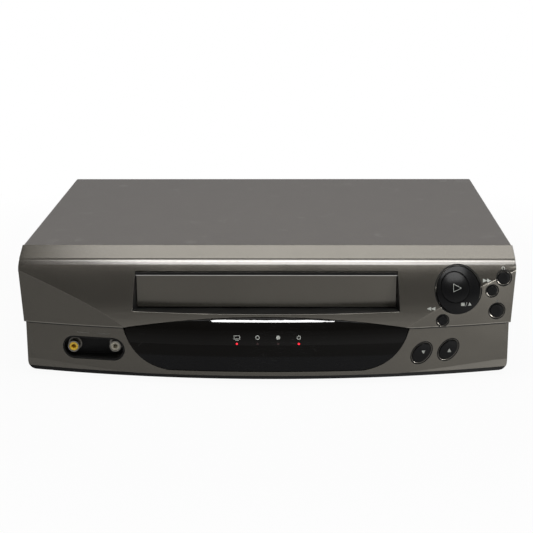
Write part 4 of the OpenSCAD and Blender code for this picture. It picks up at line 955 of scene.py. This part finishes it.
def ovalOf(node):
    # The half axes and the tilt of a key's outline
    low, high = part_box(node)
    if not node.startswith("channel"):
        return ((high.x - low.x) / 2, (high.z - low.z) / 2), 0.0
    # The oval's half axes follow from the box of the turned oval
    tilt = math.radians(keyShadeRings["tilt"])
    wide, tall = (high.x - low.x) ** 2 / 4, (high.z - low.z) ** 2 / 4
    double = (wide - tall) / math.cos(2 * tilt)
    return (math.sqrt((wide + tall + double) / 2), math.sqrt((wide + tall - double) / 2)), tilt


# Painted shade: a black ring in the well round each key
def buildKeyShadeRings():
    for node in [name for name in nodes if name.endswith("_button") and name != "play_button"]:
        at = placeOf(node)
        half, tilt = ovalOf(node)
        bm = bmesh.new()
        for grow in (-keyShadeRings["inset"], keyShadeRings["reach"]):
            circle = bmesh.ops.create_circle(bm, segments=keyShadeRings["segments"], radius=1.0)
            for vert in circle["verts"]:
                a, b = vert.co.x * (half[0] + grow * mm), vert.co.y * (half[1] + grow * mm)
                x = at[0] + a * math.cos(tilt) - b * math.sin(tilt)
                z = at[1] + a * math.sin(tilt) + b * math.cos(tilt)
                vert.co = (x, faceY(x, z) - keyShadeRings["proud"] * mm, z)
        bmesh.ops.bridge_loops(bm, edges=bm.edges[:])
        turnToFront(bm)
        bmesh.ops.solidify(bm, geom=bm.faces[:], thickness=keyShadeRings["thick"] * mm)
        name = camelName(node).removesuffix("Part") + "Ring"
        finishPiece(name, bm, "cabinet", "black_plastic")


# Each mark: the piece it is printed on, the piece it stands by, and how many mm to the right of
# and above that one's middle
markPlaces = {
    "playMark": ("play_button", "play_button", 1.6, 0.2),
    "stopMark": ("stop_eject_button", "stop_eject_button", 2.7, -8.8),
    "slashMark": ("stop_eject_button", "stop_eject_button", 5.2, -8.8),
    "ejectMark": ("stop_eject_button", "stop_eject_button", 7.7, -8.6),
    "forwardMark": ("front_fascia", "fast_forward_button", -3.9, 7.7),
    "rewindMark": ("front_fascia", "rewind_button", -8.6, 9.0),
    "powerMark": ("front_fascia", "power_button", -0.4, 6.7),
    "recordMark": ("front_fascia", "record_button", 0, 7.4),
    "channelDownMark": ("channel_down_button", "channel_down_button", 1.2, 0.8),
    "channelUpMark": ("channel_up_button", "channel_up_button", 0.6, 0.0),
    "jackRules": ("front_fascia", "jack_bezel", 0, 11.6),
}

# Sizes of the marks in mm: width before height, a radius, or the slash's corners. The power
# sign has its radius and its line's width, then the length and the rise of its bar
markSizes = {
    "play": (6.0, 5.4),
    "playLine": 0.5,
    "stop": (2.6, 2.3),
    "slash": [(-0.6, -1.4), (-0.3, -1.4), (0.6, 1.4), (0.3, 1.4)],
    "eject": (2.3, 2.6),
    "arrow": (3.0, 2.5),
    "power": (1.0, 0.35, 1.1, 0.8),
    "record": 0.9,
    "channelDown": (2.6, 2.6),
    "channelUp": (2.7, 3.1),
    "rule": (9, 0.25),
    "ruleShift": 7.5,
}


def printAt(name, outlines, material=paleInk, ring=0.0):
    node, beside, dx, dz = markPlaces[name]
    printMark(name, node, placeOf(beside, dx, dz), outlines, material, ring)


def buildMarks():
    size = markSizes
    half = size["arrow"][0] / 2
    printAt("playMark", [triangle(*size["play"])], ring=size["playLine"])
    printAt("stopMark", [bar(*size["stop"])])
    printAt("slashMark", [size["slash"]])
    printAt("ejectMark", [triangle(*size["eject"], 90)])
    printAt("forwardMark", [triangle(*size["arrow"], 0, (x, 0)) for x in (-half, half)])
    printAt("rewindMark", [triangle(*size["arrow"], 180, (x, 0)) for x in (-half, half)])
    printAt("powerMark", powerSign(*size["power"]))
    printAt("recordMark", [circlePoints(size["record"])], dimInk)
    printAt("channelDownMark", [triangle(*size["channelDown"], -90)])
    printAt("channelUpMark", [triangle(*size["channelUp"], 90)])
    shifts = (-size["ruleShift"], size["ruleShift"])
    printAt("jackRules", [bar(*size["rule"], (x, 0)) for x in shifts], dimInk)


# Indicator tips in the window's face, in mm: how flat and sunk each is, how far over it its
# label stands, and which are lit, counted from the left
lamps = {
    "count": 4,
    "pitch": 14.75,
    "first": -20.6,
    "z": 31.0,
    "radius": 0.8,
    "flat": 0.25,
    "sunk": 0.05,
    "labelRise": 4.6,
    "lit": (0, 3),
}

# Their labels' sizes in mm, given as the marks' are
labelSizes = {"screen": (4.4, 2.6), "foot": (2.4, 0.5), "footRise": -1.9, "ring": 1.5, "dot": 1.4,
              "power": (1.2, 0.5, 1.3, 1.1), "line": 0.5}


def lampPlace(i, rise=0.0):
    return (lamps["first"] + lamps["pitch"] * i) * mm, (lamps["z"] + rise) * mm


def buildIndicators():
    frontY = frontOf("display_window")
    for i in range(lamps["count"]):
        x, z = lampPlace(i)
        bm = bmesh.new()
        bmesh.ops.create_uvsphere(bm, u_segments=24, v_segments=12, radius=lamps["radius"] * mm)
        bmesh.ops.scale(bm, vec=(1, lamps["flat"], 1), verts=bm.verts)
        bmesh.ops.translate(bm, vec=(x, frontY(x, z) + lamps["sunk"] * mm, z), verts=bm.verts)
        material = litRed if i in lamps["lit"] else unlitRed
        finishPiece("indicatorTip" + str(i + 1), bm, "cabinet", "lamp_plastic", material=material)
    # The end of its name, whose it is, its outlines, and its line's width if hollow
    size = labelSizes
    labels = [
        ("1", 0, [bar(*size["screen"])], size["line"]),
        ("1Foot", 0, [bar(*size["foot"], (0, size["footRise"]))], 0.0),
        ("2", 1, [circlePoints(size["ring"])], size["line"]),
        ("3", 2, [circlePoints(size["dot"])], 0.0),
        ("4", 3, powerSign(*size["power"]), 0.0),
    ]
    for ending, i, outlines, ring in labels:
        at = lampPlace(i, lamps["labelRise"])
        printMark("lampLabel" + ending, "display_window", at, outlines, ring=ring)


# The floor keeps the shadow close to the recorder and turns plain white between near and far,
# in metres. In gloss it is dimmer close by and on the left
stage = {
    "floor": 12.0,
    "floorColour": (0.45, 0.45, 0.45),
    "lift": 0.95,
    "near": 0.30,
    "far": 0.6,
    "glossAcross": (-0.05, 0.4, 0.15, 1.0),
    "glossAway": (0.5, 1.2),
}


def buildFloor():
    bm = bmesh.new()
    bmesh.ops.create_grid(bm, x_segments=1, y_segments=1, size=stage["floor"] / 2)
    mesh = bpy.data.meshes.new("floor")
    bm.to_mesh(mesh)
    bm.free()
    floor = bpy.data.objects.new("floor", mesh)
    bpy.context.scene.collection.objects.link(floor)
    material = bpy.data.materials.new("paleFloor")
    material.use_nodes = True
    tree = material.node_tree
    tree.nodes.clear()
    path = addNode(tree, "ShaderNodeLightPath").outputs
    diffuse = addNode(tree, "ShaderNodeBsdfDiffuse", {"Color": colour(stage["floorColour"])}).outputs[0]
    white = addNode(tree, "ShaderNodeEmission", {"Color": (1, 1, 1, 1), "Strength": 1.0}).outputs[0]
    point = objectPoint(tree)
    away = addNode(tree, "ShaderNodeVectorMath", {0: point}, operation="LENGTH").outputs["Value"]
    lift = spread(tree, away, stage["near"], stage["far"], stage["lift"], 1.0)
    across = spread(tree, axesOf(tree, point)["X"], *stage["glossAcross"])
    shine = larger(tree, across, spread(tree, away, *stage["glossAway"]))
    plainSeen = times(tree, larger(tree, path["Is Camera Ray"], path["Is Transmission Ray"]), lift)
    seen = larger(tree, plainSeen, times(tree, path["Is Glossy Ray"], shine))
    mixed = addNode(tree, "ShaderNodeMixShader", {0: seen, 1: diffuse, 2: white})
    addNode(tree, "ShaderNodeOutputMaterial", {"Surface": mixed.outputs[0]})
    mesh.materials.append(material)


# The room that gloss shows is dark in front of the recorder, white behind it and pale low down,
# more so to the right. Each row has two values of a direction's part, then what they give
room = {
    "soft": 0.16,
    "behind": (0.2, 0.7, 0.03, 0.8),
    "low": (0.04, 0.42, 0.85, 0.2),
    "right": (-0.2, 0.5, 1.0, 1.6),
}


def buildRoom():
    world = bpy.data.worlds.new("studio")
    bpy.context.scene.world = world
    world.use_nodes = True
    tree = world.node_tree
    tree.nodes.clear()
    path = addNode(tree, "ShaderNodeLightPath").outputs
    seen = larger(tree, path["Is Camera Ray"], path["Is Transmission Ray"])
    way = axesOf(tree, addNode(tree, "ShaderNodeTexCoord").outputs["Generated"])
    low = times(tree, spread(tree, way["Z"], *room["low"]), spread(tree, way["X"], *room["right"]))
    shown = larger(tree, spread(tree, way["Y"], *room["behind"]), low)

    def white(strength):
        inputs = {"Color": (1, 1, 1, 1), "Strength": strength}
        return addNode(tree, "ShaderNodeBackground", inputs).outputs[0]

    inputs = {0: path["Is Glossy Ray"], 1: white(room["soft"]), 2: white(shown)}
    lit = addNode(tree, "ShaderNodeMixShader", inputs)
    total = addNode(tree, "ShaderNodeMixShader", {0: seen, 1: lit.outputs[0], 2: white(1.0)})
    addNode(tree, "ShaderNodeOutputWorld", {"Surface": total.outputs[0]})


# Each lamp: place, what it aims at, width and height, power in watts, whether gloss shows it,
# and the only pieces it lights, where it doesn't light them all
lampSet = {
    "overhead": dict(at=(0.09, -0.315, 1.03), aim=(0.09, -0.26, 0.03), size=(0.72, 0.67), power=9.1),
    "overheadBack": dict(at=(0.07, 0.22, 1.02), aim=(0.06, 0.05, 0.08), size=(0.8, 0.38), power=2.9),
    "rightFill": dict(at=(0.75, -0.95, 0.16), aim=(0.10, -0.14, 0.05), size=(0.35, 0.2), power=9.5,
                      only=("fasciaShell", "coverShell", "cassetteDoorPart", "rearPanelPart")),
    "frontFill": dict(at=(-0.3, -1.6, 1.0), aim=(0, -0.14, 0.05), size=(0.9, 0.6), power=4.0,
                      gloss=False),
    "crescent": dict(at=(0.0, -1.084, 0.794), aim=(0, -0.145, 0.047), size=(0.47, 0.096), power=20.0,
                     only=("displayLens",)),
}


def buildLamps():
    for name, lamp in lampSet.items():
        data = bpy.data.lights.new(name, "AREA")
        data.shape = "RECTANGLE"
        data.size, data.size_y = lamp["size"]
        data.energy = lamp["power"]
        holder = bpy.data.objects.new(name, data)
        holder.visible_glossy = lamp.get("gloss", True)
        holder.location = lamp["at"]
        holder.rotation_mode = "QUATERNION"
        way = Vector(lamp["aim"]) - Vector(lamp["at"])
        holder.rotation_quaternion = way.to_track_quat("-Z", "Y")
        bpy.context.scene.collection.objects.link(holder)


def aimAtOwn():
    # A lamp with "only" lights those pieces alone
    for name in [name for name in lampSet if "only" in lampSet[name]]:
        group = bpy.data.collections.new(name + "Target")
        for target in lampSet[name]["only"]:
            group.objects.link(bpy.data.objects[target])
        bpy.data.objects[name].light_linking.receiver_collection = group


# Fitted to the photograph: place in metres, angles in radians, lens and sensor in mm
camera = {
    "at": (0.02273, -1.051, 0.33258),
    "yaw": 0.0241,
    "pitch": 0.2629,
    "roll": -0.0052,
    "lens": 90.2,
    "sensor": 36.0,
    "clip": (0.05, 50.0),
}


def buildCamera():
    data = bpy.data.cameras.new("camera")
    data.lens, data.sensor_width = camera["lens"], camera["sensor"]
    data.clip_start, data.clip_end = camera["clip"]
    holder = bpy.data.objects.new("camera", data)
    yaw, pitch, roll = camera["yaw"], camera["pitch"], camera["roll"]
    level = math.cos(pitch)
    forward = Vector((-math.sin(yaw) * level, math.cos(yaw) * level, -math.sin(pitch)))
    right = forward.cross(Vector((0, 0, 1))).normalized()
    turned = right * math.cos(roll) + right.cross(forward) * math.sin(roll)
    up = turned.cross(forward)
    matrix = Matrix((turned, up, -forward)).transposed().to_4x4()
    matrix.translation = Vector(camera["at"])
    holder.matrix_world = matrix
    bpy.context.scene.collection.objects.link(holder)
    bpy.context.scene.camera = holder


bpy.context.scene.view_settings.view_transform = "Standard"
buildCamera()
buildFloor()
buildRoom()
buildLamps()
print("stage, lamps and camera ready")
buildFascia()
buildCover()
buildWindow()
print("fascia, cover and window ready")
buildSoftened()
buildDoorTrim()
print("softened pieces ready:", len(edgeWidths))
buildKeyShadeRings()
buildMarks()
buildIndicators()
print("marks and indicators ready")
aimAtOwn()
